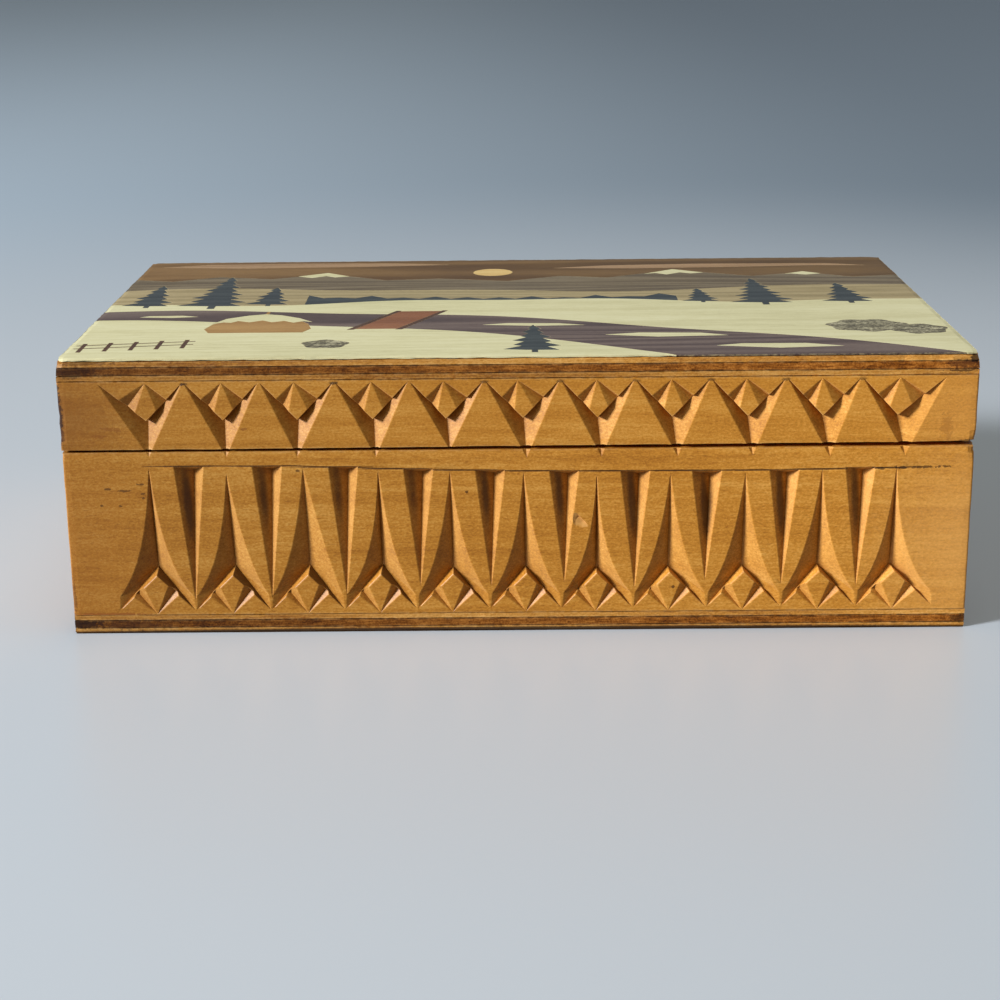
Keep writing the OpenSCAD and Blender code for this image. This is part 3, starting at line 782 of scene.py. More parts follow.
@dataclass(frozen=True)
class MetalFinish(Finish):
    """A worn metal of the hinges, with its dull hollows, scratches and edges in millimetres."""

    bright: Colour
    tarnish: Colour
    gloss: float = 0.3
    hollow: float = 1.2
    edge: float = 0.3
    scratch: float = 0.01
    scratch_stretch: Point = (0.15, 3.0, 3.0)
    scratch_waves: Waves = (2.0, 2.0, 0.6)
    blotch_waves: Waves = (0.45, 4.0, 0.65)
    blotch_span: Span = (0.35, 0.7)
    blotched: float = 0.6
    dulled: float = 0.25

    def wire(self, t: Tree, shader: Node) -> None:
        """Wires the metal's tarnish, gloss and scratches.

        Args:
            t: The material's tree.
            shader: Its shader.
        """
        spot = t.vector("MULTIPLY", t.node("ShaderNodeTexCoord").outputs["Object"], (1 / MM,) * 3)
        blotch = t.span(t.noise(spot, *self.blotch_waves), *self.blotch_span)
        scratch = t.noise(t.vector("MULTIPLY", spot, self.scratch_stretch), *self.scratch_waves)
        patina_and_shade = t.place(PatinaAndShade, Vector=spot, Reach=self.hollow * MM, Edge=self.edge * MM)
        dull = t.maths("MAXIMUM", t.maths("MULTIPLY", blotch, self.blotched), patina_and_shade["Hollow"])
        t.feed(shader, {
            "Base Color": t.mix(dull, self.bright, self.tarnish),
            "Metallic": 1.0,
            "Roughness": t.maths("MULTIPLY_ADD", dull, self.dulled, self.gloss),
            "Normal": t.bump(scratch, self.scratch),
        })


def add_object(name: str, data: ID) -> Object:
    """Adds an object to the scene.

    Args:
        name: Its name.
        data: Its mesh, lamp or camera.

    Returns:
        The object.
    """
    made = bpy.data.objects.new(name, data)
    bpy.context.scene.collection.objects.link(made)
    return made


ACROSS = Vector((1, 0, 0))
INWARDS = Vector((0, 1, 0))
UPWARDS = Vector((0, 0, 1))
# Shift of the wear's noise for each step of a seed
NOISE_SHIFT = (3.7, 5.1, 1.9)
# Largest share of an edge that a run-out takes
RUN_OUT_SHARE = 0.4
# How far beside a scribed line the faces are cut, in millimetres
SCRIBE_REACH = 3.0
# How far round a flake the faces are cut, against its own reach
FLAKE_ROUND = 3.0
# A height above all of the room between the boards, in millimetres
NO_LIMIT = 1000.0


@dataclass
class Piece:
    """A working copy of a node's mesh, shaped by bmesh operators before it replaces the node."""

    node: str
    bm: BMesh = field(init=False)

    def __post_init__(self) -> None:
        """Copies the node's loose triangles and merges them into plain faces."""
        self.bm = bmesh.new()
        self.bm.from_mesh(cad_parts[self.node].data)
        bmesh.ops.remove_doubles(self.bm, verts=self.bm.verts, dist=WELD)
        bmesh.ops.dissolve_limit(
            self.bm, angle_limit=FLAT, verts=self.bm.verts, edges=self.bm.edges, use_dissolve_boundaries=False
        )
        for name in (DIRT, TORN):
            self.bm.verts.layers.float.new(name)

    def soften(
        self,
        wanted: Callable[[BMEdge], bool],
        width: float,
        segments: int = 2,
        run_out: float = 0.0,
    ) -> "Piece":
        """Rounds the sharp edges that are wanted.

        Args:
            wanted: Says whether an edge is rounded.
            width: Width of the rounding in millimetres.
            segments: Steps in the rounding.
            run_out: How far before a narrow tip the rounding ends, in millimetres, or 0 to run into it.

        Returns:
            The piece itself.
        """
        edges = [e for e in self.bm.edges if is_sharp(e) and wanted(e)]
        if run_out:
            self._run_out(edges, run_out * MM)
        bmesh.ops.bevel(
            self.bm,
            geom=edges,
            offset=width * MM,
            offset_type="OFFSET",
            segments=segments,
            profile=0.5,
            affect="EDGES",
            clamp_overlap=False,
            material=-1,
        )
        return self

    def _run_out(self, edges: Sequence[BMEdge], length: float) -> None:
        """Splits edges shortly before a narrow tip or the piece's foot or top, and keeps the part beyond.

        Args:
            edges: The edges.
            length: Distance from the tip, in metres.
        """
        low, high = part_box(self.node)
        arms: dict[BMVert, list[Vector]] = {}
        for edge in edges:
            for v in edge.verts:
                arms.setdefault(v, []).append((edge.other_vert(v).co - v.co).normalized())
        for edge in edges:
            for v in tuple(edge.verts):
                along = (edge.other_vert(v).co - v.co).normalized()
                glued = min(v.co.z - low.z, high.z - v.co.z) < GLUED_EDGE * MM
                if glued or any(NARROW < along.angle(arm) < TIP for arm in arms.get(v, ())):
                    bmesh.utils.edge_split(edge, v, min(RUN_OUT_SHARE, length / edge.calc_length()))

    def cut(self, axis: Vector, at: float) -> "Piece":
        """Cuts the faces along one plane.

        Args:
            axis: Axis that the cut stands across.
            at: Place of the cut on the axis, in metres.

        Returns:
            The piece itself.
        """
        geom = [*self.bm.verts, *self.bm.edges, *self.bm.faces]
        bmesh.ops.bisect_plane(self.bm, geom=geom, dist=WELD, plane_co=axis * at, plane_no=axis)
        return self

    def _cut_some(
        self, faces: Sequence[BMFace], at: Vector, across: Vector
    ) -> list[BMVert]:
        """Cuts some of the faces along one plane.

        Args:
            faces: The faces.
            at: A point on the plane, in metres.
            across: Direction that the plane stands across.

        Returns:
            The points on the cut.
        """
        verts = {v for f in faces for v in f.verts}
        edges = {e for f in faces for e in f.edges}
        geom = [*verts, *edges, *faces]
        cut = bmesh.ops.bisect_plane(self.bm, geom=geom, dist=WELD, plane_co=at, plane_no=across)
        return [g for g in cut["geom_cut"] if isinstance(g, BMVert)]

    def slice(self, axis: Vector, step: float) -> "Piece":
        """Cuts the faces into strips across an axis, so that wear has points to move.

        Args:
            axis: Axis that the cuts stand across.
            step: Distance between the cuts in millimetres.

        Returns:
            The piece itself.
        """
        reach = [v.co.dot(axis) for v in self.bm.verts]
        low, high = min(reach), max(reach)
        count = max(1, round((high - low) / (step * MM)))
        for i in range(1, count):
            self.cut(axis, low + (high - low) * i / count)
        return self

    def wear(self, worn: Wear, seed: float, low: Vector, high: Vector) -> "Piece":
        """Moves the surface inwards by smooth noise, near the arrises of a block.

        Args:
            worn: How deep the arrises are worn, and how far in.
            seed: Shift of the noise.
            low: The block's lowest corner.
            high: The block's highest corner.

        Returns:
            The piece itself.
        """
        self.bm.normal_update()
        offset = Vector([seed * shift for shift in NOISE_SHIFT])
        moves = []
        for v in self.bm.verts:
            weight = worn.weight(v.co, low, high)
            if weight > 0:
                rough = noise.noise(v.co / (worn.wave * MM) + offset)
                moves.append((v, v.normal * (-worn.depth * MM * weight * (0.5 + 0.5 * rough))))
        for v, move in moves:
            v.co += move
        return self

    def groove(
        self, at: Vector, across: Vector, into: Vector, line: ScribedLine, near: Callable[[Vector], bool]
    ) -> "Piece":
        """Cuts a fine V groove where a plane crosses the outer face, and marks its floor as dirty.

        Args:
            at: A point on the groove and on the outer face, in metres.
            across: Direction along the face and across the groove.
            into: Direction into the wood.
            line: The line, for its width and depth.
            near: Says whether a face with its middle at a point is crossed.

        Returns:
            The piece itself.
        """
        floor: list[BMVert] = []
        for shift in (-0.5, 0.5, 0.0):
            faces = [f for f in self.bm.faces if near(f.calc_center_median())]
            floor = self._cut_some(faces, at + across * (shift * line.width * MM), across)
        floor = [v for v in floor if abs((v.co - at).dot(into)) < WELD]
        bmesh.ops.triangulate(self.bm, faces=list({f for v in floor for f in v.link_faces}))
        dirt = self.bm.verts.layers.float[DIRT]
        for v in floor:
            v.co += into * (line.depth * MM)
            v[dirt] = 1.0
        return self

    def scribe(self, line: ScribedLine) -> "Piece":
        """Cuts a scribed line into the front.

        Args:
            line: The line.

        Returns:
            The piece itself.
        """
        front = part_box(self.node)[0].y
        for (x0, z0), (x1, z1) in zip(line.points, line.points[1:]):
            start = Vector((x0 * MM, front, z0 * MM))
            end = x1 * MM
            across = Vector((z0 - z1, 0.0, x1 - x0)).normalized()

            def near(at: Vector, start: Vector = start, end: float = end, across: Vector = across) -> bool:
                """Says whether a point lies on the front beside this stretch of the line."""
                beside = abs((at - start).dot(across)) < SCRIBE_REACH * MM
                return start.x <= at.x < end and beside and at.y < front + WELD

            self.groove(start, across, INWARDS, line, near)
        return self

    def tear(self, flake: Flake) -> "Piece":
        """Tears a flake out of the front.

        Args:
            flake: The flake.

        Returns:
            The piece itself.
        """
        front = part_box(self.node)[0].y
        corners = [Vector((x * MM, front, z * MM)) for x, z in flake.corners]
        sides = []
        for a, b in zip(corners, corners[1:] + corners[:1]):
            sides.append((a, Vector((a.z - b.z, 0.0, b.x - a.x)).normalized()))
        middle = sum(corners, Vector()) / len(corners)
        around = FLAKE_ROUND * max((c - middle).length for c in corners)

        def local() -> list[BMFace]:
            """Lists the flat faces of the front around the flake."""
            spots = [(f, f.calc_center_median()) for f in self.bm.faces]
            return [f for f, c in spots if c.y < front + WELD and (c - middle).length < around]

        def within(at: Vector, by: float = 0.0) -> bool:
            """Says whether a point lies inside the flake by more than a distance."""
            return all((at - co).dot(normal) < -by for co, normal in sides)

        for co, normal in sides:
            self._cut_some(local(), co, normal)
        inner = [f for f in local() if within(f.calc_center_median())]
        for _ in range(flake.splits):
            edges = list({e for f in inner for e in f.edges})
            fresh = bmesh.ops.subdivide_edges(self.bm, edges=edges, cuts=1, use_grid_fill=True)
            inner = [g for g in fresh["geom"] if isinstance(g, BMFace)]
            inner = [f for f in inner if within(f.calc_center_median())]
        bmesh.ops.triangulate(self.bm, faces=list({f for g in inner for v in g.verts for f in v.link_faces}))
        torn = self.bm.verts.layers.float[TORN]
        deepest = Vector((flake.deepest[0] * MM, front, flake.deepest[1] * MM))
        for v in self.bm.verts:
            if v.co.y < front + WELD and within(v.co, WELD):
                fade = max(0.0, 1.0 - (v.co - deepest).length / (flake.reach * MM))
                rough = noise.noise(v.co / (flake.wave * MM))
                v.co.y += flake.depth * MM * fade * (1.0 + 0.5 * rough)
                v[torn] = 1.0
        return self

    def knock(self, knocks: Sequence[Knock]) -> "Piece":
        """Gives way where the piece was knocked.

        Args:
            knocks: The knocked places.

        Returns:
            The piece itself.
        """
        for hit in knocks:
            centre = Vector(hit.at) * MM
            for v in self.bm.verts:
                fade = 1.0 - (v.co - centre).length / (hit.reach * MM)
                if fade > 0:
                    rough = 1.0 + hit.rough * noise.noise(v.co / (hit.wave * MM))
                    v.co += Vector(hit.give) * (MM * fade * rough)
        return self

    def finish(self, body: Body, slot: Slot, material: Material) -> Object:
        """Makes the object that stands for the node.

        Args:
            body: Body that it rides on.
            slot: The record's slot for its finish. It is not used.
            material: Its material.

        Returns:
            The new object.
        """
        low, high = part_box(self.node)
        for v in self.bm.verts:
            v.co = [min(max(c, a), b) for c, a, b in zip(v.co, low, high)]
        for face in self.bm.faces:
            face.smooth = True
        mesh = bpy.data.meshes.new(f"{self.node}_finished")
        self.bm.to_mesh(mesh)
        self.bm.free()
        mesh.set_sharp_from_angle(angle=SHADED_AS_ONE)
        mesh.materials.append(material)
        made = add_object(mesh.name, mesh)
        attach(made, body.value)
        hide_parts(self.node)
        LOG.info("%s: %d faces", made.name, len(mesh.polygons))
        return made


def is_sharp(edge: BMEdge) -> bool:
    """Says whether an edge is a real corner between two faces."""
    return len(edge.link_faces) == 2 and edge.calc_face_angle(0.0) > CREASE


def always(_: object) -> bool:
    """Says yes to every edge."""
    return True


def nodes_box(nodes: Sequence[str]) -> tuple[Vector, Vector]:
    """Measures the block that holds several nodes.

    Args:
        nodes: The nodes' names.

    Returns:
        Its lowest and highest corners.
    """
    boxes = [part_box(n) for n in nodes]
    low = Vector([min(b[0][i] for b in boxes) for i in range(3)])
    high = Vector([max(b[1][i] for b in boxes) for i in range(3)])
    return low, high


LIME = WoodFinish(
    name="honey_varnished_lime",
    dark=srgb(160, 99, 27),
    middle=srgb(198, 134, 46),
    light=srgb(226, 168, 80),
    rings=0.12,
    fibres=0.8,
    speckle=1.3,
    bands=0.7,
    shine=0.3,
    coat=0.03,
)
FACE_PLY = replace(
    LIME,
    name="varnished_face_ply",
    dark=srgb(140, 84, 26),
    middle=srgb(194, 134, 54),
    light=srgb(226, 172, 92),
    ring_width=2.2,
    rings=0.35,
    end_grain=0.8,
    end_tint=srgb(190, 160, 130),
    hollow_dirt_and_shade_strength=0.3,
    layers=0.9,
)
CORE_PLY = replace(
    LIME,
    name="stained_core_ply",
    dark=srgb(94, 52, 12),
    middle=srgb(164, 108, 42),
    light=srgb(222, 162, 84),
    grain=Grain.ALONG_Y,
    end_grain=1.0,
    end_tint=srgb(212, 190, 158),
    gloss=0.62,
    shine=0.15,
    coat=0.0,
    hollow_dirt_and_shade_strength=0.3,
    rubbed_highlight=0.2,
    speckle=1.2,
    clouds=1.0,
    layers=2.6,
    glue=srgb(44, 22, 6),
    glue_width=0.4,
)
BRASS = MetalFinish("aged_brass", srgb(196, 160, 92), srgb(84, 62, 34))
STEEL = MetalFinish("dull_steel", srgb(150, 150, 148), srgb(70, 62, 54), 0.38)


# How deep the carving reaches, the width of its arrises, and the painted light that makes the right end paler
# and the left end darker
CARVED_REACH = 2.8
CARVED_ARRIS = 0.1
FRONT_PAINTED_LIGHT = 0.28
# How high above the foot a blunt rim starts
RIM_FOOT = 1.3
# How squarely a face looks out, how steeply a cut opens upwards, and how far it may look to the right
LOOKS_OUT = 0.99
OPENS_UP = 0.45
LOOKS_RIGHT = 0.2
# The carved rows on the front, from which the painted shade in the wedges comes back at every unit
FRONT_UNITS = 11
ROW_MARGIN = 10.0
PAINTED_WEDGE_SHADE = Mark(
    (-73.5, FRONT + 1.35, 29.0),
    (2.1, 1.15, 13.0),
    ragged=0.12,
    strength=0.8,
    colour=srgb(58, 28, 4),
    soft=0.6,
    every=2 * (HALF_WIDTH - ROW_MARGIN) / FRONT_UNITS,
)
# Painted shade on steep stab walls turned from the window, and painted light on the flanks turned towards it
PAINTED_STAB_SHADE = Facet((0.7, 0.0, 0.7), 0.72, 0.84, 0.7, srgb(58, 32, 8))
PAINTED_FLANK_LIGHT = Facet((-0.8, 0.0, -0.6), 0.3, 0.7, 0.18, srgb(250, 202, 136))
# Painted light along the front: the left ends darker and the right ends paler
PAINTED_SHADE_LID_LEFT = Mark((-101, FRONT, 50), (26, 12, 16), 0.3, 0.6, srgb(118, 68, 22), 0.9)
PAINTED_SHADE_BOX_LEFT = Mark((-104, FRONT, 18), (34, 12, 46), 0.3, 0.3, srgb(160, 98, 34), 0.9)
PAINTED_LIGHT_LID_RIGHT = Mark((104, FRONT, 50), (30, 12, 16), 0.3, 0.35, srgb(236, 172, 92), 0.9)
PAINTED_LIGHT_BOX_RIGHT = Mark((104, FRONT, 20), (34, 12, 34), 0.3, 0.55, srgb(244, 182, 100), 0.9)
LID_MARKS = (
    PAINTED_SHADE_LID_LEFT,
    PAINTED_LIGHT_LID_RIGHT,
    *(Mark((x, FRONT, 57.7), (1.2, 2, 0.45), 0.5, strength, srgb(58, 32, 12), 0.5) for x, strength in (
        (-72.8, 0.9), (-40.0, 0.8), (-7.2, 0.6), (9.6, 0.6), (25.9, 0.5), (42.2, 0.6), (58.6, 0.6),
        (75.0, 0.5))),
    Mark((-100.6, FRONT, 50.5), (1.3, 3, 8.5), 0.4, 0.95, srgb(48, 23, 7), 0.4),
    Mark((-99.9, FRONT, 46.3), (0.7, 2, 2.2), 0.6, 0.6, srgb(70, 34, 10), 0.5),
    Mark((-100.6, FRONT, 56.4), (0.8, 2, 1.8), 0.6, 0.7),
    Mark((-88.5, FRONT, 47.7), (2.4, 2, 0.5), 1.0, 0.35, srgb(120, 62, 20)),
    Mark((-92.0, FRONT, 46.0), (1.5, 2, 0.4), 1.0, 0.3, srgb(120, 62, 20)),
    Mark((-59.9, FRONT, 47.5), (0.8, 2, 0.3), 0.8, 0.5, srgb(120, 62, 20)),
    Mark((93.8, FRONT, 46.6), (1.2, 2, 3.2), 1.2, 0.3, srgb(140, 78, 26)),
    Mark((98.4, FRONT, 43.4), (2.2, 2, 0.5), 1.0, 0.7),
)
BOX_MARKS = (
    PAINTED_WEDGE_SHADE,
    PAINTED_SHADE_BOX_LEFT,
    PAINTED_LIGHT_BOX_RIGHT,
    *(Mark((x, FRONT, z), (11, 0.6, 0.26), 0.25, 0.8, srgb(64, 34, 10), 0.5) for x, z in (
        (-72, 39.15), (-56, 39.05), (-41, 38.7), (-27, 38.2), (-12, 37.75), (4, 37.45), (20, 37.3),
        (36, 37.25), (52, 37.2), (66, 37.3), (80, 37.5))),
    *(Mark((x, FRONT, z), (w, 2, 0.28), 0.8, 0.75, srgb(72, 40, 12)) for x, z, w in (
        (-90.8, 34.0, 0.8), (-87.0, 33.6, 1.3), (-83.7, 35.0, 0.9), (-82.9, 32.9, 0.6), (-83.0, 31.9, 0.5),
        (-92.2, 30.2, 0.5), (-88.1, 30.1, 0.5), (-48.6, 37.9, 0.5))),
    *(Mark((x, FRONT, z), (w, 2, 0.35), 1.1, 0.75, srgb(48, 26, 10)) for x, z, w in (
        (79.6, 37.4, 1.6), (84.2, 37.5, 1.4), (89.6, 37.6, 3.0), (94.6, 37.7, 1.2))),
    *(Mark((x, FRONT, z), (0.4, 1, 0.4), 0.4, 0.8, srgb(70, 36, 10)) for x, z in (
        (-11.3, 32.7), (34.6, 10.2))),
    Mark((-100.2, FRONT, 9.0), (0.7, 2, 4.5), 1.2, 0.5, srgb(90, 46, 14)),
    Mark((-92.0, FRONT, 4.6), (9.0, 2, 0.4), 0.8, 0.55, srgb(128, 60, 16)),
)
SCRIBED = ScribedLine((
    (-82, 39.2), (-50, 39.0), (-36, 38.5), (-20, 37.9), (10, 37.35), (50, 37.2), (72, 37.4), (88, 37.7),
))
PLANK_GAP = ScribedLine((), 0.3, 0.12)
TORN_FLAKE = Flake(
    corners=((12.1, 27.9), (13.3, 27.5), (14.9, 25.6), (15.9, 24.5), (13.8, 24.1), (12.2, 25.2)),
    deepest=(14.0, 26.3),
    depth=0.55,
    reach=2.2,
)
LID_KNOCKS = (
    Knock((100.5, FRONT, 43.3), 1.6, (-0.5, 0.4, 0.5)),
    Knock((96.5, FRONT, 43.2), 1.0, (0.0, 0.35, 0.3)),
    Knock((-100.5, FRONT, 46.5), 1.6, (0.35, 0.2, 0.0)),
    Knock((-100.5, FRONT, 51.0), 1.4, (0.25, 0.2, 0.0)),
)
BOX_KNOCKS = (
    Knock((100.4, FRONT, 41.9), 1.4, (-0.5, 0.4, -0.5)),
    Knock((-100.4, FRONT, 41.9), 1.0, (0.3, 0.2, -0.3)),
)
PANEL_KNOCKS = (
    Knock((-100.5, FRONT, 63.3), 2.4, (0.7, 0.5, -0.6)),
    Knock((100.5, FRONT, 63.0), 2.6, (-0.5, 0.6, -0.4)),
    Knock((92.0, FRONT, 62.9), 1.6, (0.0, 0.5, -0.2)),
    Knock((84.0, FRONT, 62.9), 1.4, (0.0, 0.4, -0.2)),
    Knock((-92.0, FRONT, 62.6), 1.8, (0.0, 0.4, -0.2)),
    Knock((100.5, 62.0, 63.3), 2.0, (-0.4, -0.4, -0.4)),
    Knock((-100.5, 62.0, 63.3), 1.8, (0.4, -0.3, -0.3)),
)
LID_PLY_MARKS = (
    Mark((-98.5, FRONT, 60.5), (9, 3, 1.6), 0.6, 0.6, srgb(44, 22, 8), 0.5),
    Mark((97.5, FRONT, 60.9), (5, 3, 1.1), 0.8, 0.7, srgb(70, 34, 20), 0.4),
    Mark((99.3, FRONT, 61.9), (1.6, 2, 0.9), 0.8, 0.85, srgb(30, 16, 8)),
    Mark((96.6, FRONT, 59.3), (3.0, 2, 0.3), 1.0, 0.75, srgb(60, 32, 12)),
    Mark((93.0, FRONT, 58.6), (6.0, 2, 0.3), 1.0, 0.45, srgb(120, 66, 20)),
    Mark((-94.0, FRONT, 62.4), (6.0, 2, 0.4), 1.0, 0.6, srgb(90, 56, 16)),
)
BASE_PLY_MARKS = (
    Mark((-99.0, FRONT, 2.2), (6, 3, 1.2), 0.8, 0.8, srgb(34, 16, 8), 0.4),
    Mark((-88.0, FRONT, 2.0), (9, 3, 1.0), 1.2, 0.5, srgb(60, 32, 18), 0.4),
    # Painted shadow along the foot of the front, where the box stands on the floor
    Mark((0.0, FRONT, 0.0), (130, 3, 1.1), 0.1, 0.92, srgb(46, 27, 11), 0.25),
    Mark((99.0, FRONT, 2.2), (3, 3, 1.0), 0.8, 0.7, srgb(50, 30, 14), 0.4),
)


@dataclass
class CarvedFrame:
    """The boards round the box or the lid: front, back, left and right, all carved but the back."""

    body: Body
    boards: tuple[str, str, str, str]
    seed: float
    glue_strength: float
    marks: tuple[Mark, ...] = ()
    line: ScribedLine | None = None
    flakes: tuple[Flake, ...] = ()
    knocks: tuple[Knock, ...] = ()
    corner: float = 0.45
    rim: float = 0.3
    tip_run_out: float = 0.9
    corner_strip: float = 2.0
    step: float = 1.6
    worn: Wear = Wear(0.22, 4.0, 1.4)

    def build(self) -> None:
        """Shapes and dresses the four boards."""
        low, high = nodes_box(self.boards)
        worn_low, worn_high = low.copy(), high.copy()
        if self.body is Body.BOX:
            worn_low.z -= CARVED_REACH * MM
        else:
            worn_high.z += CARVED_REACH * MM
        for i, name in enumerate(self.boards):
            front = i == 0
            along_x = i < 2
            axis = ACROSS if along_x else INWARDS
            finish = replace(
                LIME,
                name=f"{LIME.name}_{name}",
                grain=Grain.ALONG_X if along_x else Grain.ALONG_Y,
                seed=self.seed + i,
                room=room_within(high),
                bleach=FRONT_PAINTED_LIGHT if front else 0.0,
                glue_lines=(low.z / MM, high.z / MM),
                glue_strength=self.glue_strength,
                facets=(PAINTED_STAB_SHADE, PAINTED_FLANK_LIGHT) if front else (),
                marks=self.marks if front else (),
            )
            piece = Piece(name)
            if along_x:
                strip = self.corner_strip * MM
                piece.cut(axis, low.x + strip).cut(axis, high.x - strip)
            piece.soften(lambda e: all(on_corner(v.co, low, high) for v in e.verts), self.corner, 3)
            piece.soften(lambda e: is_rim(e, low, high), self.rim, 2, self.tip_run_out)
            piece.soften(lambda e: is_carved(e, low, high), CARVED_ARRIS, 1, self.tip_run_out)
            piece.slice(axis, self.step).slice(UPWARDS, self.step)
            if front:
                if self.line:
                    piece.scribe(self.line)
                for flake in self.flakes:
                    piece.tear(flake)
            piece.knock(self.knocks).wear(self.worn, self.seed + i, worn_low, worn_high)
            piece.finish(self.body, Slot.CARVED_LIME, finish.make())


def room_within(high: Vector) -> Point:
    """Measures the room between the boards.

    Args:
        high: Highest corner of the boards or of a panel.

    Returns:
        Half the room's width and depth in millimetres, with no limit upwards.
    """
    low_board, high_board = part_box("box_left_wall")
    board = high_board.x - low_board.x
    return ((high.x - board) / MM, (high.y - board) / MM, NO_LIMIT)


def on_corner(at: Vector, low: Vector, high: Vector) -> bool:
    """Says whether a point lies on an upright corner of a block."""
    return all(min(at[i] - low[i], high[i] - at[i]) < 10 * WELD for i in range(2))


def is_carved(edge: BMEdge, low: Vector, high: Vector) -> bool:
    """Says whether an edge is an outward corner of the carving, and not one of the board's own.

    Args:
        edge: The edge.
        low: Lowest corner of the four boards.
        high: Their highest corner.

    Returns:
        True for such an edge.
    """
    if not edge.is_convex:
        return False
    middle = (edge.verts[0].co + edge.verts[1].co) / 2
    gaps = sorted(min(middle[i] - low[i], high[i] - middle[i]) for i in range(3))
    return gaps[0] < CARVED_REACH * MM and gaps[1] > 2 * CARVED_ARRIS * MM


def is_rim(edge: BMEdge, low: Vector, high: Vector) -> bool:
    """Says whether an edge is a blunt arris over a steep cut that opens upwards and not to the right.

    Args:
        edge: The edge.
        low: Lowest corner of the four boards.
        high: Their highest corner.

    Returns:
        True for such an edge.
    """
    if not is_carved(edge, low, high) or min(v.co.z for v in edge.verts) - low.z < RIM_FOOT * MM:
        return False
    normals = [f.normal for f in edge.link_faces]
    upright = max(normals, key=lambda n: n.z)
    outward = [n for n in normals if max(abs(n.x), abs(n.y)) > LOOKS_OUT]
    if not outward or upright.z < OPENS_UP:
        return False
    return upright.dot(UPWARDS.cross(outward[0])) < LOOKS_RIGHT


@dataclass
class Panel:
    """A three-ply panel."""

    body: Body
    plies: tuple[str, str, str]
    seed: float
    marks: tuple[Mark, ...] = ()
    knocks: tuple[Knock, ...] = ()
    foot: float = 0.4
    arris: float = 0.1
    steps: tuple[float, float] = (1.5, 2.0)
    ply_worn: Wear = Wear(0.12, 2.5, 0.8)
    panel_worn: Wear = Wear(0.25, 5.0, 1.0)

    def build(self) -> None:
        """Shapes and dresses the three plies."""
        low, high = nodes_box(self.plies)
        core_low, core_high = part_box(self.plies[1])
        inner = 2 if self.body is Body.BOX else 0
        for i, name in enumerate(self.plies):
            core = i == 1
            base = CORE_PLY if core else FACE_PLY
            ply_low, ply_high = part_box(name)
            finish = replace(
                base,
                name=f"{base.name}_{name}",
                seed=self.seed + i,
                # The panels carry the front's painted light, twice as strong on the core
                bleach=FRONT_PAINTED_LIGHT * (2.0 if core else 1.0),
                glue_lines=(core_low.z / MM, core_high.z / MM),
                room=room_within(high) if i == inner else None,
                marks=self.marks,
            )
            piece = Piece(name)
            piece.soften(lambda e: all(v.co.z < WELD for v in e.verts), self.foot, 3)
            piece.soften(always, self.arris, 2)
            piece.slice(ACROSS, self.steps[0]).slice(INWARDS, self.steps[1])
            piece.knock(self.knocks)
            piece.wear(self.ply_worn, self.seed + i, ply_low, ply_high)
            piece.wear(self.panel_worn, self.seed + i, low, high)
            piece.finish(self.body, Slot.CORE_PLY if core else Slot.FACE_PLY, finish.make())


@dataclass(frozen=True)
class Veneer:
    """One species in the picture, and the node that is cut from it."""

    node: str
    slot: Slot
    finish: WoodFinish


def veneer_wood(name: str, dark: Colour, middle: Colour, light: Colour, **changes: object) -> WoodFinish:
    """Starts a thin, flat veneer's finish.

    Args:
        name: Name of the material.
        dark: Darkest tone.
        middle: Middle tone.
        light: Lightest tone.
        **changes: Other fields of the finish.

    Returns:
        The finish.
    """
    plain = dict(
        rubbed_highlight=0.5, hollow_dirt_and_shade_strength=0.3, hollow_dirt_and_shade_reach=0.5, edge=0.2, end_grain=0.0, shine=0.2, coat=0.0, gloss=0.55,
        bump=0.01, speckle=0.35, bands=0.3, raw=srgb(226, 206, 150), dirt=srgb(60, 44, 30),
    )
    return WoodFinish(name=name, dark=dark, middle=middle, light=light, **{**plain, **changes})


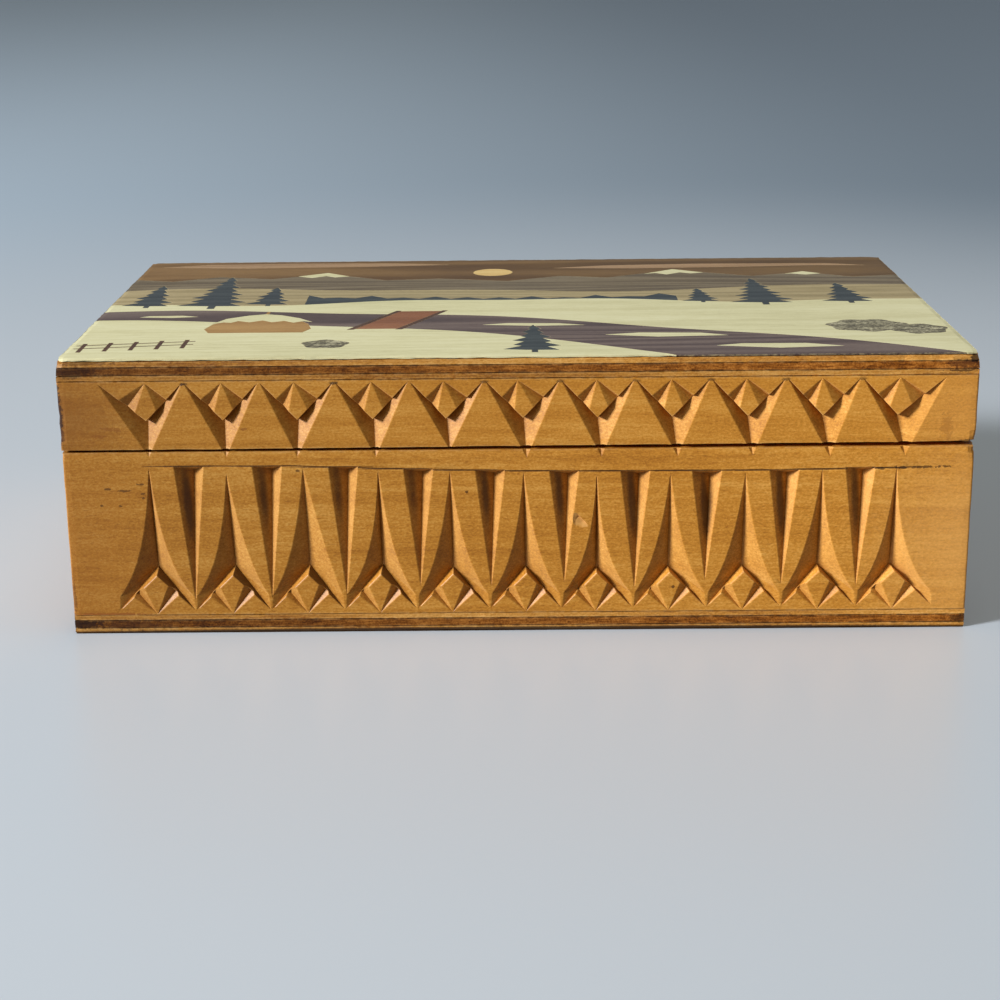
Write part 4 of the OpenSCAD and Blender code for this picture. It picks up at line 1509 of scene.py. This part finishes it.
SNOW_WOOD = veneer_wood(
    "sycamore_snow", srgb(186, 178, 128), srgb(214, 208, 160), srgb(228, 224, 182), rings=0.2, fibres=0.9,
    pores=0.1,
)
FIR_WOOD = veneer_wood("bog_oak_firs", srgb(40, 42, 42), srgb(62, 66, 64), srgb(84, 88, 84), pores=0.5)
RAIL_WOOD = veneer_wood("walnut_rails", srgb(58, 36, 24), srgb(84, 58, 42), srgb(104, 76, 56))
SKY_WOOD = veneer_wood(
    "pear_sky", srgb(82, 56, 26), srgb(108, 80, 44), srgb(132, 102, 62), rings=0.5, ring_width=3.0,
    clouds=1.0, bleach=-0.22,
)
VENEERS = tuple(Veneer(f"{name}_veneer", slot, finish) for name, slot, finish in (
    ("sky", Slot.SKY, SKY_WOOD),
    ("cloud", Slot.CLOUD, veneer_wood(
        "beech_clouds", srgb(140, 108, 74), srgb(162, 130, 94), srgb(182, 150, 114), pores=0.5)),
    ("sun", Slot.SUN, veneer_wood(
        "satinwood_sun", srgb(206, 168, 96), srgb(222, 190, 122), srgb(232, 206, 144))),
    ("mountain", Slot.MOUNTAIN, veneer_wood(
        "walnut_mountains", srgb(84, 70, 52), srgb(112, 98, 74), srgb(136, 122, 96), rings=0.5, pores=0.5)),
    ("mountain_snow", Slot.SNOW, SNOW_WOOD),
    ("hill", Slot.HILL, veneer_wood(
        "grey_hills", srgb(134, 119, 82), srgb(163, 146, 105), srgb(184, 167, 124), rings=0.4, pores=0.4)),
    ("far_forest", Slot.FIR, FIR_WOOD),
    ("far_snow", Slot.SNOW, SNOW_WOOD),
    ("river", Slot.RIVER, veneer_wood(
        "smoked_oak_river", srgb(72, 58, 54), srgb(98, 82, 74), srgb(122, 106, 94), rings=0.6, pores=0.6)),
    ("ice", Slot.SNOW, SNOW_WOOD),
    ("near_snow", Slot.SNOW, SNOW_WOOD),
    ("left_firs", Slot.FIR, FIR_WOOD),
    ("right_firs", Slot.FIR, FIR_WOOD),
    ("front_fir", Slot.FIR, FIR_WOOD),
    ("haystack", Slot.HAY, veneer_wood(
        "burr_hay", srgb(118, 84, 44), srgb(156, 118, 68), srgb(186, 148, 92), clouds=1.2)),
    ("haystack_snow", Slot.SNOW, SNOW_WOOD),
    ("bridge_deck", Slot.BRIDGE, veneer_wood(
        "mahogany_bridge", srgb(110, 68, 44), srgb(138, 90, 60), srgb(160, 112, 78))),
    ("bridge_rails", Slot.RAIL, RAIL_WOOD),
    ("fence", Slot.RAIL, RAIL_WOOD),
    ("bushes", Slot.BUSH, veneer_wood(
        "burr_bushes", srgb(66, 60, 44), srgb(122, 114, 88), srgb(206, 198, 160), clouds=1.4, pores=0.8,
        speckle=2.4, layers=1.5)),
))


@dataclass
class Picture:
    """The inlaid picture on the lid."""

    veneers: tuple[Veneer, ...] = VENEERS
    knocks: tuple[Knock, ...] = ()
    deck: str = "bridge_deck_veneer"
    planks: int = 9
    arris: float = 0.05
    steps: tuple[float, float] = (1.2, 1.6)
    worn: Wear = Wear(0.3, 2.2, 0.9)

    def build(self) -> None:
        """Shapes and dresses each veneer."""
        low, high = nodes_box([v.node for v in self.veneers])
        for i, veneer in enumerate(self.veneers):
            piece = Piece(veneer.node)
            piece.soften(lambda e: all(v.co.z > high.z - WELD for v in e.verts), self.arris, 1)
            if veneer.node == self.deck:
                self._score(piece)
            own_low, own_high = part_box(veneer.node)
            if any(own_low[j] < low[j] + WELD or own_high[j] > high[j] - WELD for j in range(2)):
                piece.slice(ACROSS, self.steps[0]).slice(INWARDS, self.steps[1])
                piece.knock(self.knocks).wear(self.worn, i, low, high)
            piece.finish(Body.LID, veneer.slot, veneer.finish.make())

    def _score(self, piece: Piece) -> None:
        """Scores the bridge's deck into planks.

        Args:
            piece: The deck.
        """
        low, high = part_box(piece.node)
        for i in range(1, self.planks):
            at = Vector((0, low.y + (high.y - low.y) * i / self.planks, high.z))
            piece.groove(at, INWARDS, -UPWARDS, PLANK_GAP, always)


@dataclass
class ButtHinge:
    """A brass butt hinge with its pin."""

    side: str
    arris: float = 0.08

    def build(self) -> None:
        """Shapes and dresses both leaves and the pin."""
        for part, body in (("box_leaf", Body.BOX), ("lid_leaf", Body.LID)):
            piece = Piece(f"{self.side}_hinge_{part}").soften(always, self.arris)
            piece.finish(body, Slot.BRASS, BRASS.make())
        Piece(f"{self.side}_hinge_pin").finish(Body.BOX, Slot.STEEL, STEEL.make())


@dataclass
class HingeNails:
    """The nails that hold the leaves."""

    node: str
    body: Body
    arris: float = 0.08

    def build(self) -> None:
        """Shapes and dresses the nails."""
        Piece(self.node).soften(always, self.arris).finish(self.body, Slot.BRASS, BRASS.make())


@dataclass(frozen=True)
class PhotoCamera:
    """The camera at the photograph's viewing angle, in metres, degrees and pixels of a 1000 pixel frame."""

    place: Point = (-0.0009, -0.4794, 0.1555)
    yaw: float = -0.423
    pitch: float = -16.63
    roll: float = -0.593
    focal_px: float = 1968.0
    frame_px: float = 1000.0
    sensor: float = 36.0
    clip_start: float = 0.01

    def build(self) -> None:
        """Makes the camera and the scene's view."""
        yaw, pitch, roll = (math.radians(a) for a in (self.yaw, self.pitch, self.roll))
        ahead = Vector((math.sin(yaw) * math.cos(pitch), math.cos(yaw) * math.cos(pitch), math.sin(pitch)))
        level = Vector((math.cos(yaw), -math.sin(yaw), 0.0))
        upright = level.cross(ahead)
        right = math.cos(roll) * level + math.sin(roll) * upright
        up = -math.sin(roll) * level + math.cos(roll) * upright
        data = bpy.data.cameras.new("photo_camera")
        data.sensor_width = self.sensor
        data.lens = self.focal_px / self.frame_px * self.sensor
        data.clip_start = self.clip_start
        camera = add_object(data.name, data)
        turn = Matrix((right, up, -ahead)).transposed().to_4x4()
        camera.matrix_world = Matrix.Translation(self.place) @ turn
        bpy.context.scene.camera = camera
        bpy.context.scene.view_settings.view_transform = "Standard"


@dataclass(frozen=True)
class SoftLamp:
    """A square lamp that faces the box, in metres."""

    name: str
    towards: Point
    far: float
    size: float
    level: float
    tint: tuple[float, float, float] = (1.0, 1.0, 1.0)

    def build(self) -> None:
        """Makes the lamp. A level of 1 lights a surface that faces it as it is written."""
        lamp = bpy.data.lights.new(self.name, "AREA")
        lamp.color = self.tint
        lamp.shape = "SQUARE"
        lamp.size = self.size
        lamp.energy = self.level * (math.pi * self.far) ** 2
        towards = Vector(self.towards).normalized()
        turn = towards.to_track_quat("Z", "Y").to_matrix().to_4x4()
        add_object(lamp.name, lamp).matrix_world = Matrix.Translation(towards * self.far) @ turn


WINDOW = SoftLamp("window", (-0.815, -0.397, 0.423), 2.6, 0.5, 1.54, (1.0, 1.03, 1.14))
OVERHEAD = SoftLamp("overhead", (0.15, -0.1, 1.0), 3.0, 1.6, 0.26)


@dataclass(frozen=True)
class FloorFinish(Finish):
    """A plain, faintly glossy floor with a painted pool of light that greys gently away from the window, with
    reaches in metres.
    """

    middle: Colour = srgb(194, 201, 203)
    left: Colour = srgb(182, 199, 209)
    right: Colour = srgb(112, 125, 134)
    bounce: Colour = (0.20, 0.165, 0.115, 1.0)
    near: float = 0.2
    far: float = 0.75
    roughness: float = 0.32

    def wire(self, t: Tree, shader: Node) -> None:
        """Wires the floor's colour and gloss.

        Args:
            t: The material's tree.
            shader: Its shader.
        """
        spot = t.node("ShaderNodeTexCoord").outputs["Object"]
        away = t.span(t.vector("LENGTH", spot), self.near, self.far)
        side = t.span(t.parts(spot)["X"], -2 * self.near, 2 * self.near)
        # Painted light: pale in the middle, greying away from it and darkest towards the right, away from the
        # window
        colour = t.mix(away, self.middle, t.mix(side, self.left, self.right))
        t.feed(shader, {"Base Color": t.mix(t.seen(), self.bounce, colour), "Roughness": self.roughness})


@dataclass(frozen=True)
class Studio:
    """A plain pale floor and soft light from the left."""

    floor_half: float = 6.0
    floor_finish: FloorFinish = FloorFinish("pale_floor")
    lamps: tuple[SoftLamp, ...] = (WINDOW, OVERHEAD)
    backdrop: Colour = srgb(138, 150, 162)
    ambient: Colour = (0.10, 0.087, 0.062, 1.0)

    def build(self) -> None:
        """Makes the floor, the world and the lamps."""
        bm = bmesh.new()
        bmesh.ops.create_grid(bm, x_segments=1, y_segments=1, size=self.floor_half)
        mesh = bpy.data.meshes.new("floor")
        bm.to_mesh(mesh)
        bm.free()
        mesh.materials.append(self.floor_finish.make())
        add_object("floor", mesh)
        self._light_world()
        for lamp in self.lamps:
            lamp.build()

    def _light_world(self) -> None:
        """Lights the object evenly, and shows a pale backdrop to the camera and in gloss."""
        world = bpy.data.worlds.new("studio")
        world.use_nodes = True
        bpy.context.scene.world = world
        t = Tree(world.node_tree)
        colour = t.mix(t.seen(), self.ambient, self.backdrop)
        t.feed(world.node_tree.nodes["Background"], {"Color": colour})


def main() -> None:
    """Builds the camera, the stage and the box's pieces in order."""
    logging.basicConfig(level=logging.INFO, format="%(name)s: %(message)s")
    PhotoCamera().build()
    Studio().build()
    Panel(
        Body.BOX,
        ("base_outer_ply", "base_core_ply", "base_inner_ply"),
        seed=1.0,
        marks=BASE_PLY_MARKS,
    ).build()
    Panel(
        Body.LID,
        ("lid_back_ply", "lid_core_ply", "lid_face_ply"),
        seed=5.0,
        marks=LID_PLY_MARKS,
        knocks=PANEL_KNOCKS,
    ).build()
    CarvedFrame(
        Body.BOX,
        ("box_front_wall", "box_back_wall", "box_left_wall", "box_right_wall"),
        seed=11.0,
        glue_strength=0.3,
        marks=BOX_MARKS,
        line=SCRIBED,
        flakes=(TORN_FLAKE,),
        knocks=BOX_KNOCKS,
    ).build()
    CarvedFrame(
        Body.LID,
        ("lid_front_rail", "lid_back_rail", "lid_left_rail", "lid_right_rail"),
        seed=21.0,
        glue_strength=0.6,
        marks=LID_MARKS,
        knocks=LID_KNOCKS,
    ).build()
    Picture(knocks=PANEL_KNOCKS).build()
    for side in ("left", "right"):
        ButtHinge(side).build()
    for body in Body:
        HingeNails(f"{body.value}_hinge_nails", body).build()


if __name__ == "__main__":
    main()
